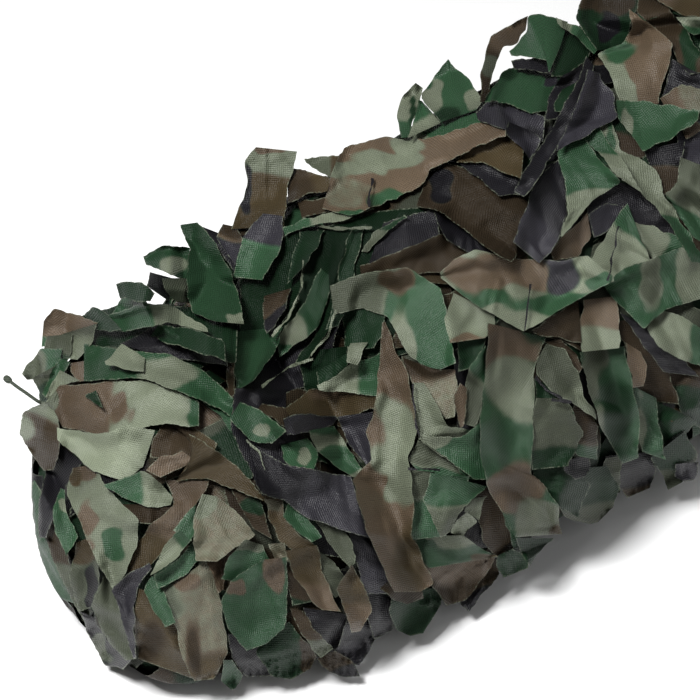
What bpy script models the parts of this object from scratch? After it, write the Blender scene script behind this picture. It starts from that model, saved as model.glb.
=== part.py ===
"""Leaf-cut camouflage net, gathered lengthwise into a loose bundle and lying on a surface.

The net is one length of printed cloth. S-shaped slits turn it into wavy strips and leaf-like lobes,
which stand off the bundle because the cloth is gathered onto a cord mesh that is smaller than it.
Metres, +Z up, +X along the bundle, origin on the surface below the middle of the bundle.

A place on the bundle is given as (along, turn): along is X, and turn is the angle in degrees round
the cross-section, 0 on the crown, 90 halfway down the front (-Y), -90 halfway down the back (+Y).
"""

import math
import random
from collections import namedtuple

import bmesh
import bpy
from mathutils import Vector
from mathutils.bvhtree import BVHTree

MIDDLE = Vector((-0.0051, 0.0071, 0.0))     # puts the middle of the finished bundle over the origin

# The bundle's form, a row for each cross-section, from the end lobe on the left to the right end.
# The net is folded back on itself at x = -0.26, where the crown drops into a valley across it.
Section = namedtuple("Section", "along middle half_width foot crown")
SECTIONS = [Section(*row) for row in (
    (-0.444, -0.032, 0.015, 0.036, 0.056),
    (-0.436, -0.028, 0.062, 0.008, 0.096),
    (-0.416, -0.018, 0.096, -0.010, 0.134),
    (-0.384, -0.004, 0.124, -0.014, 0.168),
    (-0.342, -0.002, 0.148, -0.015, 0.190),
    (-0.305, -0.008, 0.156, -0.015, 0.184),
    (-0.280, -0.014, 0.154, -0.015, 0.162),
    (-0.258, -0.016, 0.152, -0.015, 0.150),
    (-0.238, -0.016, 0.150, -0.015, 0.180),
    (-0.208, -0.016, 0.152, -0.015, 0.234),
    (-0.160, -0.018, 0.154, -0.016, 0.258),
    (-0.080, -0.020, 0.156, -0.016, 0.262),
    (0.020, -0.018, 0.160, -0.016, 0.268),
    (0.150, -0.012, 0.162, -0.016, 0.272),
    (0.270, -0.006, 0.156, -0.015, 0.262),
    (0.350, 0.000, 0.142, -0.013, 0.232),
    (0.405, 0.004, 0.118, -0.004, 0.190),
    (0.432, 0.004, 0.090, 0.022, 0.156),
    (0.446, 0.004, 0.054, 0.050, 0.124),
    (0.452, 0.004, 0.014, 0.072, 0.094),
)]
BELLY = 0.36           # height of the section's widest place, as a share of its height
UPPER_SQUARENESS = 0.96    # power on the upper half's sine and cosine: 1 is an ellipse, less is squarer
LOWER_SQUARENESS = 0.80

# Soft troughs and ridges between the gathered folds, a row for each.
Hollow = namedtuple("Hollow", "along turn reach_along reach_turn rise")
HOLLOWS = [Hollow(*row) for row in (
    (-0.238, 8, 0.034, 34, -0.034),
    (-0.262, 62, 0.022, 26, -0.016),
    (-0.250, -52, 0.045, 30, 0.030),
    (-0.150, 95, 0.040, 24, 0.008),
    (-0.060, 40, 0.060, 18, -0.010),
    (-0.010, 68, 0.050, 16, 0.010),
    (0.080, -30, 0.070, 20, -0.010),
    (0.110, 48, 0.045, 20, -0.011),
    (0.230, 15, 0.050, 18, -0.012),
    (0.300, 70, 0.045, 22, 0.009),
    (0.200, -70, 0.060, 20, 0.010),
    (-0.120, -60, 0.050, 22, -0.010),
    (-0.360, 45, 0.030, 18, 0.007),
    (-0.350, -40, 0.030, 20, -0.008),
    (0.380, -35, 0.030, 26, -0.008),
)]


# How finely the bundle is sectioned.
RING_STEP = 0.026      # along the bundle
RING_POINTS = 30       # round it
END_CROWDING = 0.07    # how much the rings close up towards the two ends
GUIDE_STEP = 0.006     # the finer copy that the lobes are laid on
GUIDE_POINTS = 96

# The cloth lobes that stand off the bundle.
CLOTH_THICKNESS = 0.003
LOBE_CLEARANCE = 0.0008     # from the floor, which the bundle's own flat underside rests on
ROOT_DEPTH = 0.005     # how far a lobe's root is sunk in the bundle, where the cloth runs on
LIFT_POWER = 0.9       # how late the lobe leaves the bundle on its way to the tip
LOBE_SHAPES = {        # half width at the root, along the spine and at the tip, as shares of the whole
    "leaf": (0.62, 1.00, 0.86, 0.26),
    "blunt": (0.70, 0.92, 1.00, 0.66),
    "spade": (0.45, 0.72, 1.00, 0.40),
    "strip": (0.90, 0.78, 0.96, 0.74),
}
SPINE_STEPS = 3        # from one of these shares to the next

# The lobes that shape the bundle's outline, a row for each. Heading is the way that the lobe points on
# the surface: 0 is +X, 90 is down the front, -90 is over the crown and down the back.
Lobe = namedtuple("Lobe", "along turn heading length width lift cup shape")
LOBES = [Lobe(*row) for row in (
    # crown, from the valley to the right
    (-0.196, -34, -30, 0.070, 0.046, 0.062, 0.004, "blunt"),
    (-0.160, -20, -150, 0.060, 0.050, 0.030, -0.004, "leaf"),
    (-0.118, -28, -20, 0.072, 0.052, 0.026, 0.003, "leaf"),
    (-0.072, -34, -40, 0.050, 0.030, 0.040, 0.003, "blunt"),
    (-0.036, -30, -35, 0.068, 0.050, 0.056, 0.006, "leaf"),
    (0.018, -32, -20, 0.086, 0.016, 0.058, 0.000, "strip"),
    (0.040, -22, -60, 0.075, 0.056, 0.036, -0.004, "blunt"),
    (0.078, -20, -30, 0.080, 0.058, 0.030, 0.004, "spade"),
    (0.120, -28, -50, 0.078, 0.050, 0.042, 0.004, "leaf"),
    (0.170, -20, 20, 0.080, 0.056, 0.026, -0.004, "leaf"),
    (0.215, -30, -60, 0.074, 0.050, 0.036, 0.004, "blunt"),
    (0.270, -25, -10, 0.080, 0.054, 0.034, 0.003, "leaf"),
    (0.330, -10, 15, 0.076, 0.056, 0.030, -0.004, "spade"),
    # back of the valley
    (-0.232, -48, -150, 0.070, 0.046, 0.040, 0.004, "leaf"),
    (-0.250, -62, -120, 0.066, 0.044, 0.034, -0.003, "blunt"),
    (-0.272, -40, -80, 0.060, 0.044, 0.036, 0.004, "leaf"),
    (-0.300, -44, -110, 0.070, 0.046, 0.026, -0.003, "spade"),
    (-0.226, -18, 150, 0.072, 0.050, 0.030, 0.003, "leaf"),
    # end lobe, its back and left
    (-0.340, -34, -120, 0.070, 0.050, 0.028, 0.004, "blunt"),
    (-0.372, -48, -150, 0.066, 0.052, 0.030, -0.004, "leaf"),
    (-0.386, -70, -150, 0.060, 0.050, 0.018, 0.003, "spade"),
    (-0.404, -20, 175, 0.056, 0.052, 0.012, 0.004, "blunt"),
    # front hem of the end lobe and of the bundle
    (-0.372, 72, 100, 0.090, 0.062, 0.022, 0.005, "blunt"),
    (-0.325, 78, 80, 0.086, 0.056, 0.020, -0.003, "leaf"),
    (-0.285, 84, 70, 0.078, 0.048, 0.020, 0.003, "spade"),
    (-0.238, 70, 85, 0.100, 0.058, 0.026, 0.004, "strip"),
    (-0.196, 84, 100, 0.080, 0.056, 0.026, -0.003, "leaf"),
    (-0.140, 82, 80, 0.082, 0.058, 0.024, 0.004, "spade"),
    (-0.082, 86, 95, 0.078, 0.054, 0.028, 0.003, "leaf"),
    (-0.026, 84, 75, 0.080, 0.054, 0.026, -0.003, "blunt"),
    (0.030, 88, 100, 0.078, 0.056, 0.028, 0.004, "leaf"),
    (0.090, 84, 85, 0.082, 0.054, 0.026, 0.003, "spade"),
    # end lobe, its top and front
    (-0.374, 18, -140, 0.080, 0.052, 0.014, 0.004, "blunt"),
    (-0.322, 24, -138, 0.130, 0.038, 0.012, -0.003, "strip"),
    (-0.345, 40, -150, 0.100, 0.034, 0.014, 0.003, "strip"),
    (-0.398, 40, 110, 0.066, 0.040, 0.016, 0.003, "leaf"),
    (-0.366, 46, 118, 0.076, 0.036, 0.014, -0.003, "strip"),
    (-0.340, 58, 92, 0.080, 0.048, 0.018, 0.004, "leaf"),
    (-0.300, 46, 78, 0.100, 0.042, 0.014, 0.003, "strip"),
    # the valley and the bundle's front, from left to right
    (-0.246, -16, -100, 0.085, 0.052, 0.052, 0.004, "blunt"),
    (-0.238, 32, 88, 0.150, 0.040, 0.015, 0.003, "strip"),
    (-0.158, 46, 86, 0.120, 0.062, 0.016, -0.004, "blunt"),
    (-0.066, 52, 86, 0.115, 0.052, 0.016, 0.003, "strip"),
    (-0.128, 0, 72, 0.100, 0.056, 0.018, 0.004, "leaf"),
    (-0.170, 28, 12, 0.115, 0.046, 0.014, -0.003, "strip"),
    (-0.012, 2, 124, 0.088, 0.052, 0.020, 0.004, "spade"),
    (-0.125, -20, 2, 0.120, 0.042, 0.016, 0.003, "strip"),
    (0.030, 6, 14, 0.080, 0.050, 0.020, 0.004, "leaf"),
    (0.108, -16, 112, 0.090, 0.056, 0.018, 0.004, "leaf"),
    (0.000, 30, 70, 0.105, 0.058, 0.018, -0.003, "blunt"),
)]

# The lobes between them lie in rings along the bundle, with a seeded scatter.
SEED = 15
FILL_FIRST = -0.395
FILL_LAST = 0.405
FILL_STEP = 0.067
FILL_TURNS = (-86, -58, -30, -2, 26, 54, 80)
FILL_SCATTER_ALONG = 0.012
FILL_SCATTER_TURN = 7.0
FILL_LENGTH = (0.082, 0.112)
FILL_WIDTH = (0.054, 0.074)
FILL_LIFT = (0.010, 0.022)
HANGING = 125.0        # how much less the lobes' headings scatter on the sides than on the crown
FILL_CLEAR = 0.038     # a scattered lobe this near to one of the table's is left out

# The loose end of the gathering string, which sticks out of the end lobe's back and ends in a knot.
STRING_DIAMETER = 0.0025
STRING_SPACING = 0.006
STRING_ROUTE = (
    (-0.3983, 0.0808, 0.1420),
    (-0.4025, 0.0815, 0.1463),
    (-0.4070, 0.0891, 0.1516),
    (-0.4103, 0.0965, 0.1552),
    (-0.4120, 0.1026, 0.1574),
    (-0.4132, 0.1070, 0.1588),
)
ROUTE_FINENESS = 12    # steps from one of these points to the next, before the even spacing
KNOT_RADII = (1.0, 1.9, 2.1, 1.6)      # of the string's last points, as multiples of the string's own


def section_at(along):
    """The section at one place along the bundle, on a smooth curve through the table's."""
    last = len(SECTIONS) - 1
    right = 1
    while right < last and SECTIONS[right].along < along:
        right += 1
    left = right - 1

    def slope(row, column):
        before = SECTIONS[max(row - 1, 0)]
        after = SECTIONS[min(row + 1, last)]
        return (after[column] - before[column]) / (after.along - before.along)

    gap = SECTIONS[right].along - SECTIONS[left].along
    t = min(max((along - SECTIONS[left].along) / gap, 0.0), 1.0)
    near = 2 * t ** 3 - 3 * t ** 2 + 1
    lean_near = (t ** 3 - 2 * t ** 2 + t) * gap
    lean_far = (t ** 3 - t ** 2) * gap
    values = [along]
    for column in range(1, len(Section._fields)):
        value = near * SECTIONS[left][column] + (1 - near) * SECTIONS[right][column]
        value += lean_near * slope(left, column) + lean_far * slope(right, column)
        values.append(value)
    return Section(*values)


def signed_power(value, power):
    return math.copysign(abs(value) ** power, value)


def gap_in_turn(turn, other):
    """The angle between two places round the section, in degrees from -180 to 180."""
    return (turn - other + 180.0) % 360.0 - 180.0


def smooth_point(along, turn):
    """A point on the bundle's smooth form."""
    section = section_at(along)
    belly = section.foot + BELLY * (section.crown - section.foot)
    angle = math.radians(turn)
    upper = math.cos(angle) > 0
    power = UPPER_SQUARENESS if upper else LOWER_SQUARENESS
    reach = section.crown - belly if upper else belly - section.foot
    swell = 1.0
    for hollow in HOLLOWS:
        far = ((along - hollow.along) / hollow.reach_along) ** 2
        far += (gap_in_turn(turn, hollow.turn) / hollow.reach_turn) ** 2
        swell += hollow.rise / section.half_width * math.exp(-far)
    y = section.middle - section.half_width * swell * signed_power(math.sin(angle), power)
    z = belly + reach * swell * signed_power(math.cos(angle), power)
    return Vector((along, y, max(z, 0.0))) + MIDDLE


def form_mesh(step, points):
    """The bundle's closed form: rings of points along it and a fan at each end."""
    first = SECTIONS[0][0]
    last = SECTIONS[-1][0]
    count = round((last - first) / step) + 1
    bm = bmesh.new()
    rings = []
    for ring_number in range(count):
        share = ring_number / (count - 1)
        share -= END_CROWDING * math.sin(2 * math.pi * share)
        along = first + (last - first) * share
        turns = [360.0 * number / points for number in range(points)]
        rings.append([bm.verts.new(smooth_point(along, turn)) for turn in turns])
    for ring, following in zip(rings, rings[1:]):
        for number in range(points):
            after = (number + 1) % points
            bm.faces.new((ring[number], ring[after], following[after], following[number]))
    for ring in (rings[0], rings[-1]):
        hub = bm.verts.new(sum((vert.co for vert in ring), Vector()) / points)
        for vert, neighbour in zip(ring, ring[1:] + ring[:1]):
            bm.faces.new((vert, neighbour, hub))
    bmesh.ops.recalc_face_normals(bm, faces=bm.faces)
    return bm


class Surface:
    """The bundle's form as something to lay lobes on."""

    def __init__(self):
        guide = form_mesh(GUIDE_STEP, GUIDE_POINTS)
        self.tree = BVHTree.FromBMesh(guide)
        guide.free()

    def nearest(self, point):
        place, normal, _, _ = self.tree.find_nearest(point)
        return place, normal

    def frame(self, along, turn, heading):
        """The place, the way that the heading points there, and the normal."""
        place, normal = self.nearest(smooth_point(along, turn))
        ahead = Vector((1, 0, 0)) - normal * normal.x
        ahead.normalize()
        across = ahead.cross(normal)
        if across.dot(smooth_point(along, turn + 2) - smooth_point(along, turn - 2)) < 0:
            across.negate()
        angle = math.radians(heading)
        return place, ahead * math.cos(angle) + across * math.sin(angle), normal


def lobe_grid(surface, lobe):
    """The upper face of a lobe, as rows of points from its root to its tip, three to a row if cupped."""
    sides = (-1, 0, 1) if lobe.cup else (-1, 1)
    place, ahead, normal = surface.frame(lobe.along, lobe.turn, lobe.heading)
    rows = []
    for step, share_of_width in enumerate(LOBE_SHAPES[lobe.shape]):
        share = step / SPINE_STEPS
        height = (lobe.lift + ROOT_DEPTH) * share ** LIFT_POWER - ROOT_DEPTH
        across = ahead.cross(normal).normalized() * share_of_width * lobe.width / 2
        row = []
        for side in sides:
            spot, spot_normal = surface.nearest(place + across * side)
            row.append(spot + spot_normal * (height - abs(side) * lobe.cup * share))
        rows.append(row)
        place, normal = surface.nearest(place + ahead * lobe.length / SPINE_STEPS)
        ahead = (ahead - normal * ahead.dot(normal)).normalized()
    return rows


def lobe_mesh(rows):
    """A closed plate of the cloth's thickness under the grid of points, no lower than the floor."""
    bm = bmesh.new()
    upper = [[bm.verts.new(point) for point in row] for row in rows]
    last_row = len(rows) - 1
    last_side = len(rows[0]) - 1
    lower = []
    for number, row in enumerate(rows):
        lower_row = []
        for side, point in enumerate(row):
            lengthwise = rows[min(number + 1, last_row)][side] - rows[max(number - 1, 0)][side]
            crosswise = row[min(side + 1, last_side)] - row[max(side - 1, 0)]
            down = lengthwise.cross(crosswise).normalized() * CLOTH_THICKNESS
            lower_row.append(bm.verts.new(point + down))
        lower.append(lower_row)
    for number in range(last_row):
        for side in range(last_side):
            for layer in (upper, lower):
                corners = (layer[number][side], layer[number][side + 1])
                bm.faces.new(corners + (layer[number + 1][side + 1], layer[number + 1][side]))
    rim = [(0, side) for side in range(last_side)]
    rim += [(number, last_side) for number in range(last_row)]
    rim += [(last_row, side) for side in range(last_side, 0, -1)]
    rim += [(number, 0) for number in range(last_row, 0, -1)]
    for here, there in zip(rim, rim[1:] + rim[:1]):
        bm.faces.new((upper[here[0]][here[1]], upper[there[0]][there[1]],
                      lower[there[0]][there[1]], lower[here[0]][here[1]]))
    for layer, lowest in ((upper, LOBE_CLEARANCE + CLOTH_THICKNESS), (lower, LOBE_CLEARANCE)):
        for vert in sum(layer, []):
            vert.co.z = max(vert.co.z, lowest)
    bmesh.ops.triangulate(bm, faces=bm.faces)
    bmesh.ops.recalc_face_normals(bm, faces=bm.faces)
    return bm


def fill_lobes():
    """The scattered lobes, which are flat across."""
    scatter = random.Random(SEED)
    lobes = []
    rings = round((FILL_LAST - FILL_FIRST) / FILL_STEP) + 1
    for ring_number in range(rings):
        for turn_number, ring_turn in enumerate(FILL_TURNS):
            along = FILL_FIRST + ring_number * FILL_STEP
            along += FILL_STEP * 0.5 * (turn_number % 2) - FILL_STEP * 0.25
            along += scatter.uniform(-FILL_SCATTER_ALONG, FILL_SCATTER_ALONG)
            turn = ring_turn + scatter.uniform(-FILL_SCATTER_TURN, FILL_SCATTER_TURN)
            # on the sides the lobes hang down, and on the crown they lie any way
            spread = 180.0 - HANGING * min(abs(turn) / 90.0, 1.0)
            heading = math.copysign(90.0, turn) + scatter.uniform(-spread, spread)
            length = scatter.uniform(*FILL_LENGTH)
            width = scatter.uniform(*FILL_WIDTH)
            lift = scatter.uniform(*FILL_LIFT)
            shape = scatter.choice(sorted(LOBE_SHAPES))
            lobes.append(Lobe(along, turn, heading, length, width, lift, 0.0, shape))
    return lobes


def all_lobes():
    """The table's lobes, and those of the scatter that keep clear of them."""
    roots = [smooth_point(lobe.along, lobe.turn) for lobe in LOBES]
    kept = list(LOBES)
    for lobe in fill_lobes():
        root = smooth_point(lobe.along, lobe.turn)
        if min((root - other).length for other in roots) > FILL_CLEAR:
            kept.append(lobe)
    return kept


def outer_shell(mesh):
    """The union's largest shell alone, without the small pockets that lobes close over the form."""
    bm = bmesh.new()
    bm.from_mesh(mesh)
    waiting = set(bm.faces)
    shells = []
    while waiting:
        shell = []
        front = [waiting.pop()]
        while front:
            face = front.pop()
            shell.append(face)
            for edge in face.edges:
                for other in edge.link_faces:
                    if other in waiting:
                        waiting.discard(other)
                        front.append(other)
        shells.append(shell)
    shells.sort(key=len)
    for pocket in shells[:-1]:
        bmesh.ops.delete(bm, geom=pocket, context="FACES")
    return bm


def build_net():
    """The form and its lobes, joined into one solid."""
    surface = Surface()
    form = new_object("form", form_mesh(RING_STEP, RING_POINTS))
    lobes = bpy.data.collections.new("lobes")
    bpy.context.scene.collection.children.link(lobes)
    for number, lobe in enumerate(all_lobes()):
        new_object("lobe_{:03d}".format(number), lobe_mesh(lobe_grid(surface, lobe)), lobes)
    union = form.modifiers.new("lobes", "BOOLEAN")
    union.operation = "UNION"
    union.operand_type = "COLLECTION"
    union.collection = lobes
    union.solver = "MANIFOLD"
    joined = form.evaluated_get(bpy.context.evaluated_depsgraph_get())
    net = new_object("net_cloth", outer_shell(joined.to_mesh()))
    for guide in [form, *lobes.objects]:
        bpy.data.objects.remove(guide)
    bpy.data.collections.remove(lobes)
    return net


def smooth_route(points, spacing):
    """Points a fixed step apart on a smooth curve through the given ones, both ends kept."""
    ends = [points[0] * 2 - points[1], *points, points[-1] * 2 - points[-2]]
    fine = []
    for number in range(len(points) - 1):
        before, start, stop, after = ends[number:number + 4]
        for step in range(ROUTE_FINENESS):
            t = step / ROUTE_FINENESS
            bend = 2 * before - 5 * start + 4 * stop - after
            twist = 3 * start - before - 3 * stop + after
            fine.append(0.5 * (2 * start + (stop - before) * t + bend * t ** 2 + twist * t ** 3))
    fine.append(points[-1])
    lengths = [0.0]
    for here, there in zip(fine, fine[1:]):
        lengths.append(lengths[-1] + (there - here).length)
    count = round(lengths[-1] / spacing)
    route = []
    number = 0
    for step in range(count + 1):
        wanted = lengths[-1] * step / count
        while number < len(fine) - 2 and lengths[number + 1] < wanted:
            number += 1
        gap = lengths[number + 1] - lengths[number]
        route.append(fine[number].lerp(fine[number + 1], (wanted - lengths[number]) / gap))
    return route


def build_string():
    """The loose string end as a closed tube, with its knot as the thicker last points."""
    route = smooth_route([Vector(point) + MIDDLE for point in STRING_ROUTE], STRING_SPACING)
    curve = bpy.data.curves.new("string_end", "CURVE")
    curve.dimensions = "3D"
    curve.bevel_depth = STRING_DIAMETER / 2
    curve.bevel_resolution = 2
    curve.use_fill_caps = True
    spline = curve.splines.new("POLY")
    spline.points.add(len(route) - 1)
    radii = [1.0] * (len(route) - len(KNOT_RADII)) + list(KNOT_RADII)
    for point, place, radius in zip(spline.points, route, radii):
        point.co = (*place, 1.0)
        point.radius = radius
    string = bpy.data.objects.new("string_end", curve)
    bpy.context.scene.collection.objects.link(string)
    return string


def material(name, colour, roughness):
    made = bpy.data.materials.new(name)
    made.use_nodes = True
    shader = made.node_tree.nodes["Principled BSDF"]
    shader.inputs["Base Color"].default_value = (*colour, 1.0)
    shader.inputs["Roughness"].default_value = roughness
    shader.inputs["Metallic"].default_value = 0.0
    return made


def new_object(name, bm, collection=None):
    mesh = bpy.data.meshes.new(name)
    bm.to_mesh(mesh)
    bm.free()
    made = bpy.data.objects.new(name, mesh)
    (collection or bpy.context.scene.collection).objects.link(made)
    return made


for old in list(bpy.data.objects):
    bpy.data.objects.remove(old)
net = build_net()
net.data.materials.append(material("camouflage_cloth", (0.075, 0.110, 0.060), 0.62))
string = build_string()
string.data.materials.append(material("green_string", (0.060, 0.085, 0.050), 0.80))
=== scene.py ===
"""Looks of the leaf-cut camouflage net: a bundle of thin printed cloth lobes, seen as in the photograph.

Metres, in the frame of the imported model. A place on the bundle is (along, turn): along is X, and turn
is the angle in degrees round the cross-section, 0 on the crown, 90 on the front (-Y), -90 on the back.
Pixels (u, v) are those of the 700 x 700 photograph, u to the right and v down.
"""
import math
import random
from collections import namedtuple

import bmesh
import bpy
import numpy as np
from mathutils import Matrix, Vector
from mathutils.bvhtree import BVHTree


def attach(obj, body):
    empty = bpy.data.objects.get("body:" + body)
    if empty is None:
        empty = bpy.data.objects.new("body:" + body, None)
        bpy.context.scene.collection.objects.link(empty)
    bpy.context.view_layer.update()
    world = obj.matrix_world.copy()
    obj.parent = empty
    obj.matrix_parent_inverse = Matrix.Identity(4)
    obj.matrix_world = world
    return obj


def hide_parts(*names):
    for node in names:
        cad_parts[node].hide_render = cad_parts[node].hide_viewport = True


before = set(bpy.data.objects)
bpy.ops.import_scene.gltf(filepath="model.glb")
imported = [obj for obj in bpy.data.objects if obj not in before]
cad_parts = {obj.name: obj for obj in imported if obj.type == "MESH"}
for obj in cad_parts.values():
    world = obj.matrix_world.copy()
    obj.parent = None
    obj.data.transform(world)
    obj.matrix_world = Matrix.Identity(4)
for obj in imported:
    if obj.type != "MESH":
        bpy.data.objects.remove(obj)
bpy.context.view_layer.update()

# ---------------------------------------------------------------- camera

PIXELS = 700
AZIMUTH = math.radians(-40)
ELEVATION = math.radians(40)
TARGET = Vector((-0.1781, 0.0121, 0.1200))
DISTANCE = 2.2
FIELD = 0.525                  # how much of the object the frame is wide, at the target
PIXEL = FIELD / PIXELS         # the size of a pixel there
SENSOR = 36.0
BACK = Vector((math.sin(AZIMUTH) * math.cos(ELEVATION), -math.cos(AZIMUTH) * math.cos(ELEVATION),
               math.sin(ELEVATION)))
RIGHT = Vector((math.cos(AZIMUTH), math.sin(AZIMUTH), 0.0))
UP = BACK.cross(RIGHT)
EYE = TARGET + BACK * DISTANCE


def add_camera():
    data = bpy.data.cameras.new("camera")
    data.sensor_width = SENSOR
    data.lens = SENSOR * DISTANCE / FIELD
    camera = bpy.data.objects.new("camera", data)
    camera.location = EYE
    camera.rotation_euler = (-BACK).to_track_quat("-Z", "Y").to_euler()
    bpy.context.scene.collection.objects.link(camera)
    bpy.context.scene.camera = camera


def place_in_view(u, v, depth):
    """Points at these pixels and depths along the camera's axis, as an array."""
    u = np.asarray(u, float)[..., None]
    v = np.asarray(v, float)[..., None]
    aim = (u - PIXELS / 2) * PIXEL * np.array(RIGHT) + (PIXELS / 2 - v) * PIXEL * np.array(UP)
    aim = aim - DISTANCE * np.array(BACK)
    return np.array(EYE) + aim * (np.asarray(depth)[..., None] / DISTANCE)


def pixels_of(points):
    """The pixels and the depths of an array of points."""
    away = points - np.array(EYE)
    depth = -away @ np.array(BACK)
    u = PIXELS / 2 + away @ np.array(RIGHT) / depth * DISTANCE / PIXEL
    v = PIXELS / 2 - away @ np.array(UP) / depth * DISTANCE / PIXEL
    return u, v, depth


# ---------------------------------------------------------------- the string's loose end

MIDDLE = Vector((-0.0051, 0.0071, 0.0))
STRING_DIAMETER = 0.0025
STRING_ROUTE = (
    (-0.3983, 0.0808, 0.1420),
    (-0.4025, 0.0815, 0.1463),
    (-0.4070, 0.0891, 0.1516),
    (-0.4103, 0.0965, 0.1552),
    (-0.4120, 0.1026, 0.1574),
    (-0.4132, 0.1070, 0.1588),
)
STRING_STEPS = 6               # from one of these points to the next
KNOT_SPAN = 0.0065             # the length of the knot at the string's end
KNOT_SWELL = 1.1               # how much thicker than the string the knot is
KNOT_TIP = 0.7                 # the thickness of its very end, as a share of the string's


def curve_through(points, steps):
    """Points on a smooth curve through the given ones."""
    points = [Vector(point) for point in points]
    ends = [points[0] * 2 - points[1], *points, points[-1] * 2 - points[-2]]
    fine = []
    for number in range(len(points) - 1):
        before, start, stop, after = ends[number:number + 4]
        for step in range(steps):
            t = step / steps
            bend = 2 * before - 5 * start + 4 * stop - after
            twist = 3 * start - before - 3 * stop + after
            fine.append(0.5 * (2 * start + (stop - before) * t + bend * t ** 2 + twist * t ** 3))
    return fine + [points[-1]]


def add_string(material):
    route = curve_through([Vector(point) + MIDDLE for point in STRING_ROUTE], STRING_STEPS)
    left = [0.0]
    for here, there in zip(reversed(route[:-1]), reversed(route[1:])):
        left.append(left[-1] + (there - here).length)
    left.reverse()
    curve = bpy.data.curves.new("string", "CURVE")
    curve.dimensions = "3D"
    curve.bevel_depth = STRING_DIAMETER / 2
    curve.bevel_resolution = 4
    curve.use_fill_caps = True
    spline = curve.splines.new("POLY")
    spline.points.add(len(route) - 1)
    for point, place, rest in zip(spline.points, route, left):
        point.co = (*place, 1.0)
        swell = math.sin(math.pi * min(rest / KNOT_SPAN, 1.0)) ** 0.5
        point.radius = 1.0 + KNOT_SWELL * swell if rest < KNOT_SPAN else 1.0
    spline.points[-1].radius = KNOT_TIP
    string = bpy.data.objects.new("string", curve)
    bpy.context.scene.collection.objects.link(string)
    curve.materials.append(material)
    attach(string, "root")
    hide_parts("string_end")


# ---------------------------------------------------------------- the bundle's form

Section = namedtuple("Section", "along middle half_width foot crown")
SECTIONS = [Section(*row) for row in (
    (-0.444, -0.032, 0.015, 0.036, 0.056),
    (-0.436, -0.028, 0.062, 0.008, 0.096),
    (-0.416, -0.018, 0.096, -0.010, 0.134),
    (-0.384, -0.004, 0.124, -0.014, 0.168),
    (-0.342, -0.002, 0.148, -0.015, 0.190),
    (-0.305, -0.008, 0.156, -0.015, 0.184),
    (-0.280, -0.014, 0.154, -0.015, 0.162),
    (-0.258, -0.016, 0.152, -0.015, 0.150),
    (-0.238, -0.016, 0.150, -0.015, 0.180),
    (-0.208, -0.016, 0.152, -0.015, 0.234),
    (-0.160, -0.018, 0.154, -0.016, 0.258),
    (-0.080, -0.020, 0.156, -0.016, 0.262),
    (0.020, -0.018, 0.160, -0.016, 0.268),
    (0.150, -0.012, 0.162, -0.016, 0.272),
    (0.270, -0.006, 0.156, -0.015, 0.262),
    (0.350, 0.000, 0.142, -0.013, 0.232),
    (0.405, 0.004, 0.118, -0.004, 0.190),
    (0.432, 0.004, 0.090, 0.022, 0.156),
    (0.446, 0.004, 0.054, 0.050, 0.124),
    (0.452, 0.004, 0.014, 0.072, 0.094),
)]
BELLY = 0.36
UPPER_SQUARENESS = 0.96
LOWER_SQUARENESS = 0.80
Hollow = namedtuple("Hollow", "along turn reach_along reach_turn rise")
HOLLOWS = [Hollow(*row) for row in (
    (-0.238, 8, 0.034, 34, -0.034),
    (-0.262, 62, 0.022, 26, -0.016),
    (-0.250, -52, 0.045, 30, 0.030),
    (-0.150, 95, 0.040, 24, 0.008),
    (-0.060, 40, 0.060, 18, -0.010),
    (-0.010, 68, 0.050, 16, 0.010),
    (0.080, -30, 0.070, 20, -0.010),
    (0.110, 48, 0.045, 20, -0.011),
    (0.230, 15, 0.050, 18, -0.012),
    (0.300, 70, 0.045, 22, 0.009),
    (0.200, -70, 0.060, 20, 0.010),
    (-0.120, -60, 0.050, 22, -0.010),
    (-0.360, 45, 0.030, 18, 0.007),
    (-0.350, -40, 0.030, 20, -0.008),
    (0.380, -35, 0.030, 26, -0.008),
)]
FORM_RINGS = 170               # of the form that the cloth is laid on
FORM_POINTS = 108
END_CROWDING = 0.07            # how much its rings close up towards the two ends


def section_at(along):
    """The section at one place along the bundle, on a smooth curve through the table's."""
    last = len(SECTIONS) - 1
    right = 1
    while right < last and SECTIONS[right].along < along:
        right += 1
    left = right - 1

    def slope(row, column):
        before = SECTIONS[max(row - 1, 0)]
        after = SECTIONS[min(row + 1, last)]
        return (after[column] - before[column]) / (after.along - before.along)

    gap = SECTIONS[right].along - SECTIONS[left].along
    t = min(max((along - SECTIONS[left].along) / gap, 0.0), 1.0)
    near = 2 * t ** 3 - 3 * t ** 2 + 1
    lean_near = (t ** 3 - 2 * t ** 2 + t) * gap
    lean_far = (t ** 3 - t ** 2) * gap
    values = [along]
    for column in range(1, len(Section._fields)):
        value = near * SECTIONS[left][column] + (1 - near) * SECTIONS[right][column]
        value += lean_near * slope(left, column) + lean_far * slope(right, column)
        values.append(value)
    return Section(*values)


def signed_power(value, power):
    """The power of a number's size, with the number's sign."""
    return np.sign(value) * np.abs(value) ** power


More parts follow.
